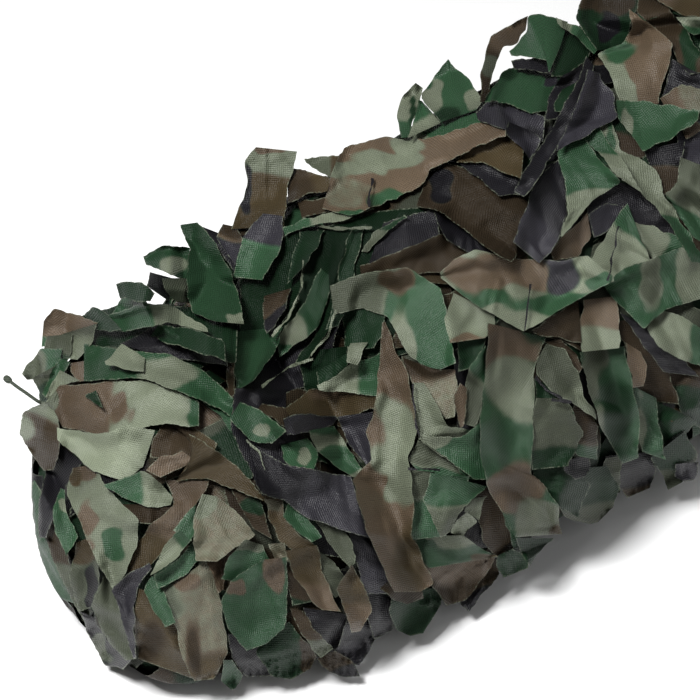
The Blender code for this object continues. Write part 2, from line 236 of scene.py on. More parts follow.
def ring_of(along, turns):
    """Points round the bundle's smooth form at one place along it, as an array."""
    section = section_at(along)
    turns = np.asarray(turns, float)
    belly = section.foot + BELLY * (section.crown - section.foot)
    angle = np.radians(turns)
    upper = np.cos(angle) > 0
    power = np.where(upper, UPPER_SQUARENESS, LOWER_SQUARENESS)
    reach = np.where(upper, section.crown - belly, belly - section.foot)
    swell = np.ones(len(turns))
    for hollow in HOLLOWS:
        gap = (turns - hollow.turn + 180.0) % 360.0 - 180.0
        far = ((along - hollow.along) / hollow.reach_along) ** 2 + (gap / hollow.reach_turn) ** 2
        swell += hollow.rise / section.half_width * np.exp(-far)
    y = section.middle - section.half_width * swell * signed_power(np.sin(angle), power)
    z = belly + reach * swell * signed_power(np.cos(angle), power)
    points = np.stack([np.full(len(turns), along), y, np.maximum(z, 0.0)], axis=-1)
    return points + np.array(MIDDLE)


BESIDE = ((-1, 0), (1, 0), (0, -1), (0, 1))        # the four cells beside one of a map
CORNERWISE = ((1, 1), (1, -1), (-1, 1), (-1, -1))


class Form:
    """The bundle's smooth form, to lay cloth on, and how high the cloth already lies over it."""

    CELL_ALONG = 0.004
    CELL_TURN = 1.8            # degrees
    MARGIN = 0.05              # how far the map of heights goes on past the form's ends
    SIDEWAYS = 2.0             # degrees to each side, to find the way round the form
    HIGHEST = 0.018            # a lobe isn't lifted over more than this

    def __init__(self):
        first = SECTIONS[0].along
        span = SECTIONS[-1].along - first
        share = np.linspace(0.0, 1.0, FORM_RINGS)
        self.alongs = first + span * (share - END_CROWDING * np.sin(2 * math.pi * share))
        turns = np.arange(FORM_POINTS) * 360.0 / FORM_POINTS
        rings = [ring_of(along, turns) for along in self.alongs]
        hubs = [rings[0].mean(axis=0), rings[-1].mean(axis=0)]
        points = np.concatenate(rings + [np.array(hubs)])
        faces = []
        for ring in range(FORM_RINGS - 1):
            for number in range(FORM_POINTS):
                after = (number + 1) % FORM_POINTS
                here, there = ring * FORM_POINTS, (ring + 1) * FORM_POINTS
                faces.append((here + number, here + after, there + after, there + number))
        hub = FORM_RINGS * FORM_POINTS
        last = (FORM_RINGS - 1) * FORM_POINTS
        for number in range(FORM_POINTS):
            after = (number + 1) % FORM_POINTS
            faces.append((number, hub, after))
            faces.append((last + number, last + after, hub + 1))
        self.tree = BVHTree.FromPolygons([tuple(point) for point in points], faces)
        self.sections = np.array([section_at(along) for along in self.alongs])
        rows = int((span + 2 * self.MARGIN) / self.CELL_ALONG)
        self.first = first - self.MARGIN
        self.height = np.zeros((rows, int(360.0 / self.CELL_TURN)))

    def nearest(self, point):
        place, normal, _, _ = self.tree.find_nearest(point)
        return place, normal

    def frame(self, along, turn, heading):
        """The place, the way that the heading points there, and the normal."""
        spots = ring_of(along, (turn - self.SIDEWAYS, turn, turn + self.SIDEWAYS))
        place, normal = self.nearest(Vector(spots[1]))
        ahead = Vector((1, 0, 0)) - normal * normal.x
        ahead.normalize()
        across = ahead.cross(normal)
        if across.dot(Vector(spots[2] - spots[0])) < 0:
            across.negate()
        angle = math.radians(heading)
        return place, ahead * math.cos(angle) + across * math.sin(angle), normal

    def cells_of(self, spots):
        """The cells of the height map that these points of the form lie in."""
        along = spots[..., 0] - MIDDLE.x
        _, middle, half_width, foot, crown = (np.interp(along, self.alongs, column)
                                              for column in self.sections.T)
        belly = foot + BELLY * (crown - foot)
        sine = (middle - (spots[..., 1] - MIDDLE.y)) / half_width
        upper = spots[..., 2] > belly
        reach = np.where(upper, crown - belly, belly - foot)
        cosine = (spots[..., 2] - belly) / reach
        power = 1.0 / np.where(upper, UPPER_SQUARENESS, LOWER_SQUARENESS)
        turn = np.degrees(np.arctan2(signed_power(sine, power), signed_power(cosine, power)))
        rows, columns = self.height.shape
        row = np.clip(((along - self.first) / self.CELL_ALONG).astype(int), 0, rows - 1)
        return row, (turn / self.CELL_TURN).astype(int) % columns

    def height_at(self, spots):
        """How high the cloth lies round these points."""
        row, column = self.cells_of(spots)
        rows, columns = self.height.shape
        found = self.height[row, column]
        for down, over in BESIDE:
            beside = self.height[np.clip(row + down, 0, rows - 1), (column + over) % columns]
            found = np.maximum(found, beside)
        return np.minimum(found, self.HIGHEST)

    def note(self, spots, heights):
        """Adds cloth of these heights to the map."""
        row, column = self.cells_of(spots)
        np.maximum.at(self.height, (row, column), heights)


class Sight:
    """The camera's view as a map of depths: of the bare form, and of the nearest cloth laid so far."""

    CELL = 2.0                 # pixels
    MARGIN = 90                # pixels outside the frame
    REACH = 30                 # pixels past the form's outline that are measured
    FAR = 1000.0               # pixels, for what lies further out
    SPREAD_ROUNDS = 60         # cells that the form's depths are carried outwards
    FLOOR_GAP = 0.0012         # how far the lowest cloth stays off the floor

    def __init__(self, form):
        self.count = int((PIXELS + 2 * self.MARGIN) / self.CELL)
        places = np.arange(self.count) * self.CELL - self.MARGIN
        u, v = np.meshgrid(places, places)
        aims = place_in_view(u, v, np.full(u.shape, DISTANCE)) - np.array(EYE)
        depth = np.full(u.shape, np.nan)
        for row in range(self.count):
            for column in range(self.count):
                aim = Vector(aims[row, column])
                hit = form.tree.ray_cast(EYE, aim)[0]
                if hit:
                    depth[row, column] = -(hit - EYE).dot(BACK)
        self.past = self.way_out(np.isnan(depth))
        self.bare = self.spread(depth)
        self.front = self.bare.copy()

    def way_out(self, outside):
        """How many pixels each cell lies outside the form's outline."""
        past = np.where(outside, self.FAR, 0.0)
        for _ in range(self.REACH):
            for steps in (*reversed(BESIDE), *CORNERWISE):
                beyond = np.roll(past, steps, (0, 1)) + self.CELL * math.hypot(*steps)
                past = np.minimum(past, beyond)
        return past

    def excess_at(self, points, free):
        """How far points stick out of the form's outline as seen, in metres, past what is free."""
        u, v, _ = pixels_of(points)
        reach = PIXELS / 2 + self.REACH
        inside = np.maximum(np.abs(u - PIXELS / 2), np.abs(v - PIXELS / 2)) < reach
        excess = np.maximum(self.between(self.past, u, v) - free, 0.0)
        return np.where(inside, excess * PIXEL, 0.0)

    def spread(self, depth):
        """Depths for the cells past the form's outline, from those beside them."""
        known = ~np.isnan(depth)
        filled = np.where(known, depth, 0.0)
        for _ in range(self.SPREAD_ROUNDS):
            total = np.zeros(depth.shape)
            weight = np.zeros(depth.shape)
            for steps in BESIDE:
                total += np.roll(filled * known, steps, (0, 1))
                weight += np.roll(known.astype(float), steps, (0, 1))
            fresh = ~known & (weight > 0)
            filled[fresh] = total[fresh] / weight[fresh]
            known = known | fresh
        filled[~known] = DISTANCE
        return filled

    def cells_of(self, u, v):
        """The cells of the maps that these pixels lie in, which all have cells beside them."""
        row = np.clip(np.round((v + self.MARGIN) / self.CELL).astype(int), 1, self.count - 2)
        column = np.clip(np.round((u + self.MARGIN) / self.CELL).astype(int), 1, self.count - 2)
        return row, column

    def between(self, values, u, v):
        """One of the maps, read smoothly between its cells."""
        last = self.count - 1.001      # just before the last cell
        y = np.clip((v + self.MARGIN) / self.CELL, 0, last)
        x = np.clip((u + self.MARGIN) / self.CELL, 0, last)
        row, column = y.astype(int), x.astype(int)
        down, over = y - row, x - column
        upper = values[row, column] * (1 - over) + values[row, column + 1] * over
        lower = values[row + 1, column] * (1 - over) + values[row + 1, column + 1] * over
        return upper * (1 - down) + lower * down

    def front_at(self, u, v):
        """The nearest cloth round these pixels."""
        row, column = self.cells_of(u, v)
        found = self.front[row, column]
        for down, over in BESIDE:
            found = np.minimum(found, self.front[row + down, column + over])
        return found

    def floor_at(self, u, v):
        """The depth at which the view meets the floor."""
        aim = place_in_view(u, v, np.full(np.shape(u), DISTANCE)) - np.array(EYE)
        return DISTANCE * (self.FLOOR_GAP - EYE.z) / aim[..., 2]

    def note(self, points):
        """Adds a grid of points to the cloth laid so far."""
        fine = refined(refined(points, 0), 1)
        u, v, depth = pixels_of(fine)
        row, column = self.cells_of(u, v)
        np.minimum.at(self.front, (row, column), depth)


def refined(grid, axis, times=4):
    """A grid with straight steps put between its rows, or its columns."""
    grid = np.moveaxis(grid, axis, 0)
    steps = np.linspace(0.0, 1.0, times, endpoint=False)[:, None, None]
    parts = [grid[number] * (1 - steps) + grid[number + 1] * steps for number in range(len(grid) - 1)]
    return np.moveaxis(np.concatenate(parts + [grid[-1:]]), 0, axis)


# ---------------------------------------------------------------- the cloth's print and its dyes

# Each dye as the four fields of the print (brown, sage, black, ochre) and a brightness. Some are one of the
# print's dyes made darker as painted shade, or lighter as a painted highlight or painted sheen.
Dye = namedtuple("Dye", "brown sage black ochre tone")
DYES = {
    "green": Dye(0, 0, 0, 0, 1.0),
    # painted shade: the green dye made darker, in three steps, for cloth in folds, hollows and gaps
    "fir": Dye(0, 0, 0, 0, 0.58),
    "deep": Dye(0, 0, 0, 0, 0.38),
    "pitch": Dye(0, 0, 0, 0, 0.20),
    "sage": Dye(0, 1, 0, 0, 1.0),
    # painted highlight: the sage dye made lighter
    "pale": Dye(0, 1, 0, 0, 1.35),
    # painted shade: the sage dye made darker
    "grey": Dye(0, 1, 0, 0, 0.48),
    "brown": Dye(1, 0, 0, 0, 0.9),
    "ochre": Dye(1, 0, 0, 1, 0.64),
    # painted shade: brown with a little ochre, made much darker
    "umber": Dye(1, 0, 0, 0.3, 0.32),
    "taupe": Dye(1, 0.42, 0, 0, 0.95),
    "black": Dye(0, 0, 1, 0, 0.75),
    # painted sheen: the black dye made lighter
    "purple": Dye(0, 0, 1, 0, 2.1),
}


class Waves:
    """Smooth noise in the flat cloth's plane, from -1 to 1, as a sum of waves in random directions."""

    SPREAD = (0.7, 1.6)        # of the single waves' lengths, as shares of the given one
    DAMPING = 1.3

    def __init__(self, rng, wavelength, count=7):
        self.parts = []
        for _ in range(count):
            angle = rng.uniform(0, 2 * math.pi)
            number = 2 * math.pi / (wavelength * rng.uniform(*self.SPREAD))
            phase = rng.uniform(0, 2 * math.pi)
            self.parts.append((math.cos(angle) * number, math.sin(angle) * number, phase))

    def at(self, x, y):
        total = sum(np.sin(x * fx + y * fy + phase) for fx, fy, phase in self.parts)
        return total / math.sqrt(len(self.parts) * self.DAMPING)


class Print:
    """The woodland print as a field for each of its dyes, 0.5 where a patch ends."""

    # How long the waves of each dye's patches are, and how high they are where a patch ends.
    PATCHES = ((0.150, 0.22), (0.130, 0.62), (0.120, 0.80))
    OCHRE_WAVES = 0.300
    EDGE = 3.2                 # how steeply the fields cross their patches' ends

    def __init__(self, rng):
        self.patches = [(Waves(rng, wavelength), level) for wavelength, level in self.PATCHES]
        self.ochre = Waves(rng, self.OCHRE_WAVES)

    def at(self, x, y):
        fields = [0.5 + self.EDGE * (waves.at(x, y) - level) for waves, level in self.patches]
        fields.append(0.5 + self.ochre.at(x, y))
        return np.clip(np.stack(fields, axis=-1), 0.0, 1.0)


# ---------------------------------------------------------------- lobes of cloth

class Cloth:
    """Lobes of cloth that are joined in one mesh, with what the material reads of each point."""

    def __init__(self, name):
        self.name = name
        self.points, self.faces, self.dyes = [], [], []
        self.tones, self.rims, self.places = [], [], []
        self.count = 0
        self.area = 0.0

    def add(self, points, dyes, tone, rims, places):
        """Adds a grid of points. places are theirs on the flat cloth."""
        rows, columns = points.shape[:2]
        index = np.arange(rows * columns).reshape(rows, columns) + self.count
        quads = np.stack([index[:-1, :-1], index[:-1, 1:], index[1:, 1:], index[1:, :-1]], axis=-1)
        self.points.append(points.reshape(-1, 3))
        self.faces.append(quads.reshape(-1, 4))
        self.dyes.append(np.broadcast_to(dyes, (rows, columns, 4)).reshape(-1, 4))
        self.tones.append(np.broadcast_to(tone, (rows, columns)).reshape(-1))
        self.rims.append(rims.reshape(-1))
        self.places.append(places.reshape(-1, 2))
        self.count += rows * columns

    def build(self, material):
        """The mesh of all its lobes, and the area of their cloth."""
        points = np.concatenate(self.points)
        faces = np.concatenate(self.faces)
        mesh = bpy.data.meshes.new(self.name)
        mesh.vertices.add(len(points))
        mesh.vertices.foreach_set("co", points.ravel())
        mesh.loops.add(faces.size)
        mesh.loops.foreach_set("vertex_index", faces.ravel().astype(np.int32))
        mesh.polygons.add(len(faces))
        mesh.polygons.foreach_set("loop_start", np.arange(0, faces.size, 4, dtype=np.int32))
        mesh.polygons.foreach_set("use_smooth", np.ones(len(faces), dtype=bool))
        mesh.update(calc_edges=True)
        dye = mesh.attributes.new("dye", "FLOAT_COLOR", "POINT")
        dye.data.foreach_set("color", np.concatenate(self.dyes).ravel())
        for name, values in (("tone", self.tones), ("rim", self.rims)):
            layer = mesh.attributes.new(name, "FLOAT", "POINT")
            layer.data.foreach_set("value", np.concatenate(values).ravel())
        places = np.concatenate(self.places)
        flat = np.concatenate([places, np.zeros((len(places), 1))], axis=1)
        layer = mesh.attributes.new("flat_place", "FLOAT_VECTOR", "POINT")
        layer.data.foreach_set("vector", flat.ravel())
        mesh.materials.append(material)
        made = bpy.data.objects.new(self.name, mesh)
        bpy.context.scene.collection.objects.link(made)
        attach(made, "root")
        corners = points[faces]
        halves = np.cross(corners[:, 1] - corners[:, 0], corners[:, 2] - corners[:, 0])
        others = np.cross(corners[:, 2] - corners[:, 0], corners[:, 3] - corners[:, 0])
        self.area = (np.linalg.norm(halves, axis=1).sum() + np.linalg.norm(others, axis=1).sum()) / 2
        return made


# The relief of a lobe of cloth. Each pair of a wavelength and a height is in metres.
LEAN = 0.17                    # how much a lobe leans to one side, as the spread of its slope
CREASE_COUNTS = (1, 2, 2, 3)
CREASE_ALONG = (0.15, 0.9)     # where they are, as shares of the lobe's length and half width
CREASE_ACROSS = 0.7
CREASE_REACH = (0.007, 0.022)  # how far the cloth slopes to each side of one
CREASE_SLOPE = (0.14, 0.40)
FANS = (5.0, 11.0)             # how close the folds are that fan out from the root, as waves a radian
FAN_HEIGHT = 0.0013
FAN_PHASES = 6.3
COARSE_CRUMPLE = (0.034, 0.0014)
FINE_CRUMPLE = (0.012, 0.00034)
CRUMPLE_WAVES = 5


def relief_of(rng, s, x, y, tip, cup, crumple):
    """How far the cloth of a lobe stands off its seat. s runs from 0 at its root to 1 at its tip, and
    (x, y) is the place on the flat lobe, along it and across it."""
    length = max(float(x.max()), 0.01)
    half = max(float(np.abs(y).max()), 0.005)
    relief = tip * s ** 1.5
    relief = relief + cup * ((y / half) ** 2 - 0.3) * (0.35 + 0.65 * s)
    # the lobe leans to one side
    relief = relief + crumple * rng.gauss(0.0, LEAN) * y * (0.3 + 0.7 * s)
    # creases: facets that meet at a ridge or a trough
    for _ in range(rng.choice(CREASE_COUNTS)):
        angle = rng.uniform(0, math.pi)
        middle_x = length * rng.uniform(*CREASE_ALONG)
        middle_y = half * rng.uniform(-CREASE_ACROSS, CREASE_ACROSS)
        off = (x - middle_x) * math.sin(angle) - (y - middle_y) * math.cos(angle)
        reach = rng.uniform(*CREASE_REACH)
        height = crumple * rng.choice((-1.0, 1.0)) * rng.uniform(*CREASE_SLOPE) * reach
        relief = relief + height * np.maximum(1.0 - np.abs(off) / reach, 0.0)
    # soft folds that fan out from the root
    fan = np.arctan2(y, x + 0.35 * length) * rng.uniform(*FANS)
    relief = relief + crumple * FAN_HEIGHT * np.sin(fan + rng.uniform(0, FAN_PHASES)) * (0.4 + s)
    # the crumple that is left in the cloth
    coarse, fine = (Waves(rng, wavelength, CRUMPLE_WAVES)
                    for wavelength, _ in (COARSE_CRUMPLE, FINE_CRUMPLE))
    left = COARSE_CRUMPLE[1] * coarse.at(x, y) + FINE_CRUMPLE[1] * fine.at(x, y)
    return relief + crumple * left


def standing(rng, s, y, tip, side):
    """How far a lobe's free edges stand clear of what it lies on."""
    half = max(float(np.abs(y).max()), 0.005)
    which = rng.choice((-1.0, 1.0))
    lean = np.clip(which * y / half, 0.0, 1.0) ** 1.5
    return tip * s ** 2 + side * lean * np.clip(s * 3, 0.0, 1.0)


def neighbours(values):
    """A map's values above, below, left and right of each one, with the edges repeated."""
    padded = np.pad(values, 1, mode="edge")
    return padded[:-2, 1:-1], padded[2:, 1:-1], padded[1:-1, :-2], padded[1:-1, 2:]


def smoothly_over(own, least, rounds=14, blurs=0):
    """Raises a lobe's heights to at least the given ones, in soft slopes, as stiff cloth does."""
    lift = np.maximum(least - own, 0.0)
    soft = lift.copy()
    for _ in range(rounds):
        soft = np.maximum(0.2 * (soft + sum(neighbours(soft))), lift)
    for _ in range(blurs):
        soft = 0.2 * sum(neighbours(soft), soft)
    return own + soft


def rim_distance(x, half, y, length):
    """How far each point is inside the lobe's cut edge, in metres."""
    sides = half - np.abs(y)
    return np.maximum(np.minimum(sides, length - x), 0.0)


def flat_places(rng, x, y):
    """Where a lobe's points lie on the flat cloth: at a random place of it, turned at random."""
    origin = np.array([rng.uniform(0, CLOTH_SIZE), rng.uniform(0, CLOTH_SIZE)])
    angle = rng.uniform(0, 2 * math.pi)
    return np.stack([x * math.cos(angle) - y * math.sin(angle),
                     x * math.sin(angle) + y * math.cos(angle)], axis=-1) + origin


CLOTH_SIZE = 5.0               # metres of printed cloth that lobes are taken from
CLEARANCE = 0.0011             # between one lobe and the next
FLOOR_LEVEL = 0.0010
OUTLINE_FREE = 2.0             # how many pixels a scattered lobe sticks out of the form's outline
OUTLINE_PULL = 1.15            # how strongly what sticks out further is drawn in
EDGE_SWAY = 0.16               # of a scattered lobe's cut edges, as a share of its width
EDGE_SWAY_WAVES = 0.045        # metres
EDGE_JAG = 0.0004
ROOT_SINK = 0.004              # how deep a scattered lobe's root goes in between its neighbours
ROOT_SPAN = 0.16               # the share of its length that sinks
LEAST_HEIGHT = 0.0004

# Outlines: half width at even steps from the root to the tip, as shares of the whole.
OUTLINES = {
    "leaf": (0.46, 0.80, 1.00, 0.66, 0.02),
    "blunt": (0.60, 0.74, 0.92, 1.00, 0.52),
    "spade": (0.36, 0.48, 0.80, 1.00, 0.06),
    "strip": (0.92, 0.72, 0.80, 1.00, 0.40),
    "wedge": (0.80, 1.00, 0.62, 0.30, 0.03),
}
Lobe = namedtuple("Lobe", "along turn heading length width lift cup shape")

# How the lobes of a layer are made: their points along and across, how high they lie, how crumpled
# they are and how far their edges stand off.
Layer = namedtuple("Layer", "rows columns base crumple clear")
LOW_FRONT = Layer(16, 11, 0.0010, 0.6, 0.001)
LOW_BACK = Layer(16, 11, 0.0010, 0.6, 0.002)
TOP_BACK = Layer(24, 15, 0.0020, 1.0, 0.006)


def lay_lobe(form, sight, cloth, rng, pattern, lobe, layer, bend, tone):
    """A lobe of cloth on the form, over what lies there already. bend is in degrees along it."""
    rows, columns = layer.rows, layer.columns
    share = np.linspace(0.0, 1.0, rows)
    side = np.linspace(-1.0, 1.0, columns)
    keys = np.linspace(0.0, 1.0, len(OUTLINES[lobe.shape]))
    profile = np.interp(share, keys, OUTLINES[lobe.shape]) * lobe.width / 2
    wobble = Waves(rng, EDGE_SWAY_WAVES, 3)
    bulge = np.sin(math.pi * share)
    left, right = (profile * (1 + EDGE_SWAY * wobble.at(share * lobe.length, start) * bulge)
                   for start in (0.0, 0.5))
    slant = rng.uniform(-0.5, 0.5) * lobe.width
    place, ahead, normal = form.frame(lobe.along, lobe.turn, lobe.heading)
    step = lobe.length / (rows - 1)
    turning = math.radians(bend) / (rows - 1)
    spots = np.zeros((rows, columns, 3))
    normals = np.zeros((rows, columns, 3))
    across_at = np.zeros((rows, columns))
    for row in range(rows):
        across = ahead.cross(normal).normalized()
        offsets = np.where(side < 0, left[row], right[row]) * side
        offsets = offsets + EDGE_JAG * np.sin(37.0 * row + 5.0 * side) * (np.abs(side) == 1)
        across_at[row] = offsets
        for column in range(columns):
            skew = ahead * (slant * share[row] ** 2 * side[column] * 0.5)
            spot, spot_normal = form.nearest(place + across * offsets[column] + skew)
            spots[row, column] = spot
            normals[row, column] = spot_normal
        place, normal = form.nearest(place + ahead * step)
        ahead = ahead - normal * ahead.dot(normal)
        ahead.normalize()
        ahead = (ahead + ahead.cross(normal) * turning).normalized()
    x = np.broadcast_to((share * lobe.length)[:, None], (rows, columns))
    s = np.broadcast_to(share[:, None], (rows, columns))
    relief = relief_of(rng, s, x, across_at, lobe.lift, lobe.cup, layer.crumple)
    sink = -ROOT_SINK * np.clip(1 - s / ROOT_SPAN, 0, 1)
    least = form.height_at(spots) + CLEARANCE + 4 * sink
    height = smoothly_over(layer.base + relief, least) + sink
    height = height + standing(rng, s, across_at, 1.5 * layer.clear, layer.clear)
    room = (spots[..., 2] - FLOOR_LEVEL) / np.maximum(-normals[..., 2], 0.05)
    height = np.where(normals[..., 2] < 0, np.minimum(height, room), height)
    points = spots + normals * height[..., None]
    height = np.maximum(height - OUTLINE_PULL * sight.excess_at(points, OUTLINE_FREE), LEAST_HEIGHT)
    points = spots + normals * height[..., None]
    points[..., 2] = np.maximum(points[..., 2], FLOOR_LEVEL)
    form.note(spots, height)
    sight.note(points)
    flat = flat_places(rng, x, across_at)
    half = np.where(side < 0, left[:, None], right[:, None])
    rims = rim_distance(x, half, across_at, lobe.length)
    cloth.add(points, pattern.at(flat[..., 0], flat[..., 1]), tone, rims, flat)


# The lobes that shape the bundle's outline on its crown, its back and its end lobe's far side.
LOBES = [Lobe(*row) for row in (
    # back of the valley
    (-0.250, -62, -120, 0.066, 0.044, 0.034, -0.003, "blunt"),
    (-0.272, -40, -80, 0.060, 0.044, 0.036, 0.004, "leaf"),
    (-0.300, -44, -110, 0.070, 0.046, 0.026, -0.003, "spade"),
    # end lobe, its back and left
    (-0.340, -34, -120, 0.070, 0.050, 0.028, 0.004, "blunt"),
    (-0.372, -48, -150, 0.066, 0.052, 0.030, -0.004, "leaf"),
    (-0.386, -70, -150, 0.060, 0.050, 0.018, 0.003, "spade"),
    # end lobe, low on its end
    (-0.436, -58, -175, 0.075, 0.058, 0.008, 0.003, "spade"),
    (-0.425, -74, -170, 0.080, 0.060, 0.008, 0.003, "blunt"),
    (-0.432, -92, -165, 0.080, 0.060, 0.006, -0.003, "leaf"),
    (-0.420, -100, -150, 0.080, 0.060, 0.005, 0.003, "blunt"),
    # crown, on the right
    (0.040, -22, -60, 0.075, 0.056, 0.036, -0.004, "blunt"),
    (0.078, -20, -30, 0.080, 0.058, 0.030, 0.004, "spade"),
    (0.120, -28, -50, 0.078, 0.050, 0.042, 0.004, "leaf"),
    (0.170, -20, 20, 0.080, 0.056, 0.026, -0.004, "leaf"),
    (0.215, -30, -60, 0.074, 0.050, 0.036, 0.004, "blunt"),
    (0.270, -25, -10, 0.080, 0.054, 0.034, 0.003, "leaf"),
    (0.330, -10, 15, 0.076, 0.056, 0.030, -0.004, "spade"),
    # front hem, from the end lobe to the right
    (-0.372, 72, 100, 0.090, 0.062, 0.022, 0.005, "blunt"),
    (-0.325, 78, 80, 0.086, 0.056, 0.020, -0.003, "leaf"),
    (-0.285, 84, 70, 0.078, 0.048, 0.020, 0.003, "spade"),
    (-0.238, 70, 85, 0.100, 0.058, 0.026, 0.004, "strip"),
    (-0.196, 84, 100, 0.080, 0.056, 0.026, -0.003, "leaf"),
    (-0.140, 82, 80, 0.082, 0.058, 0.024, 0.004, "spade"),
    (-0.082, 86, 95, 0.078, 0.054, 0.028, 0.003, "leaf"),
    (-0.026, 84, 75, 0.080, 0.054, 0.026, -0.003, "blunt"),
    (0.030, 88, 100, 0.078, 0.056, 0.028, 0.004, "leaf"),
    (0.090, 84, 85, 0.082, 0.054, 0.026, 0.003, "spade"),
)]

# The lobes between them lie in rings along the bundle, with a seeded scatter.
FILL_SEED = 15
FILL_FIRST = -0.395
FILL_LAST = 0.405
FILL_STEP = 0.067
FILL_TURNS = (-86, -58, -30, -2, 26, 54, 80)
FILL_SHAPES = ("blunt", "leaf", "spade", "strip")
FILL_SCATTER_ALONG = 0.012
FILL_SCATTER_TURN = 7.0
FILL_LENGTH = (0.082, 0.112)
FILL_WIDTH = (0.054, 0.074)
FILL_LIFT = (0.010, 0.022)
HANGING = 125.0                # how much less the lobes' headings scatter on the sides than on the crown
SEEN_WITHIN = 0.012            # a place is seen if the view meets the form this near to it


def scattered_heading(rng, turn):
    """A lobe's heading: any way on the crown, and mostly down on the bundle's sides."""
    spread = 180.0 - HANGING * min(abs(turn) / 90.0, 1.0)
    return math.copysign(90.0, turn) + rng.uniform(-spread, spread)


def fill_lobes():
    """The large scattered lobes."""
    scatter = random.Random(FILL_SEED)
    lobes = []
    rings = round((FILL_LAST - FILL_FIRST) / FILL_STEP) + 1
    for ring_number in range(rings):
        for turn_number, ring_turn in enumerate(FILL_TURNS):
            along = FILL_FIRST + ring_number * FILL_STEP
            along += FILL_STEP * 0.5 * (turn_number % 2) - FILL_STEP * 0.25
            along += scatter.uniform(-FILL_SCATTER_ALONG, FILL_SCATTER_ALONG)
            turn = ring_turn + scatter.uniform(-FILL_SCATTER_TURN, FILL_SCATTER_TURN)
            heading = scattered_heading(scatter, turn)
            sizes = [scatter.uniform(*ends) for ends in (FILL_LENGTH, FILL_WIDTH, FILL_LIFT)]
            lobes.append(Lobe(along, turn, heading, *sizes, 0.0, scatter.choice(FILL_SHAPES)))
    return lobes


def in_photo(form, along, turn, margin):
    """Whether a place on the form is seen from the camera, inside the frame or this near to it."""
    spot = ring_of(along, (turn,))[0]
    u, v, _ = pixels_of(spot[None])
    if not (-margin < u[0] < PIXELS + margin and -margin < v[0] < PIXELS + margin):
        return False
    hit = form.tree.ray_cast(EYE, (Vector(spot) - EYE).normalized())[0]
    return hit is not None and (hit - Vector(spot)).length < SEEN_WITHIN


# ---------------------------------------------------------------- the lobes that the photograph shows

# A row for each, from the lowest to the one on top. Its two cut edges are rows of corners, each written
# "u,v" in pixels, from the root to the tip. Lift is how far the tip stands off, in steps of LIFT_STEP.
# From the share `at` of its length on, the lobe has the other dye. Each spot is a patch of the print:
# (dye, u, v, half width, half height).
# Rows dyed black in the hollows, gaps and slits are painted shade there.
Hero = namedtuple("Hero", "dye left right lift other at spots", defaults=(3.0, None, 1.0, ()))


def hero_of(dye, left, right, *others):
    """A row of the table, with its cut edges read as pairs of numbers."""
    left, right = ([[float(number) for number in corner.split(",")] for corner in edge.split()]
                   for edge in (left, right))
    return Hero(dye, left, right, *others)


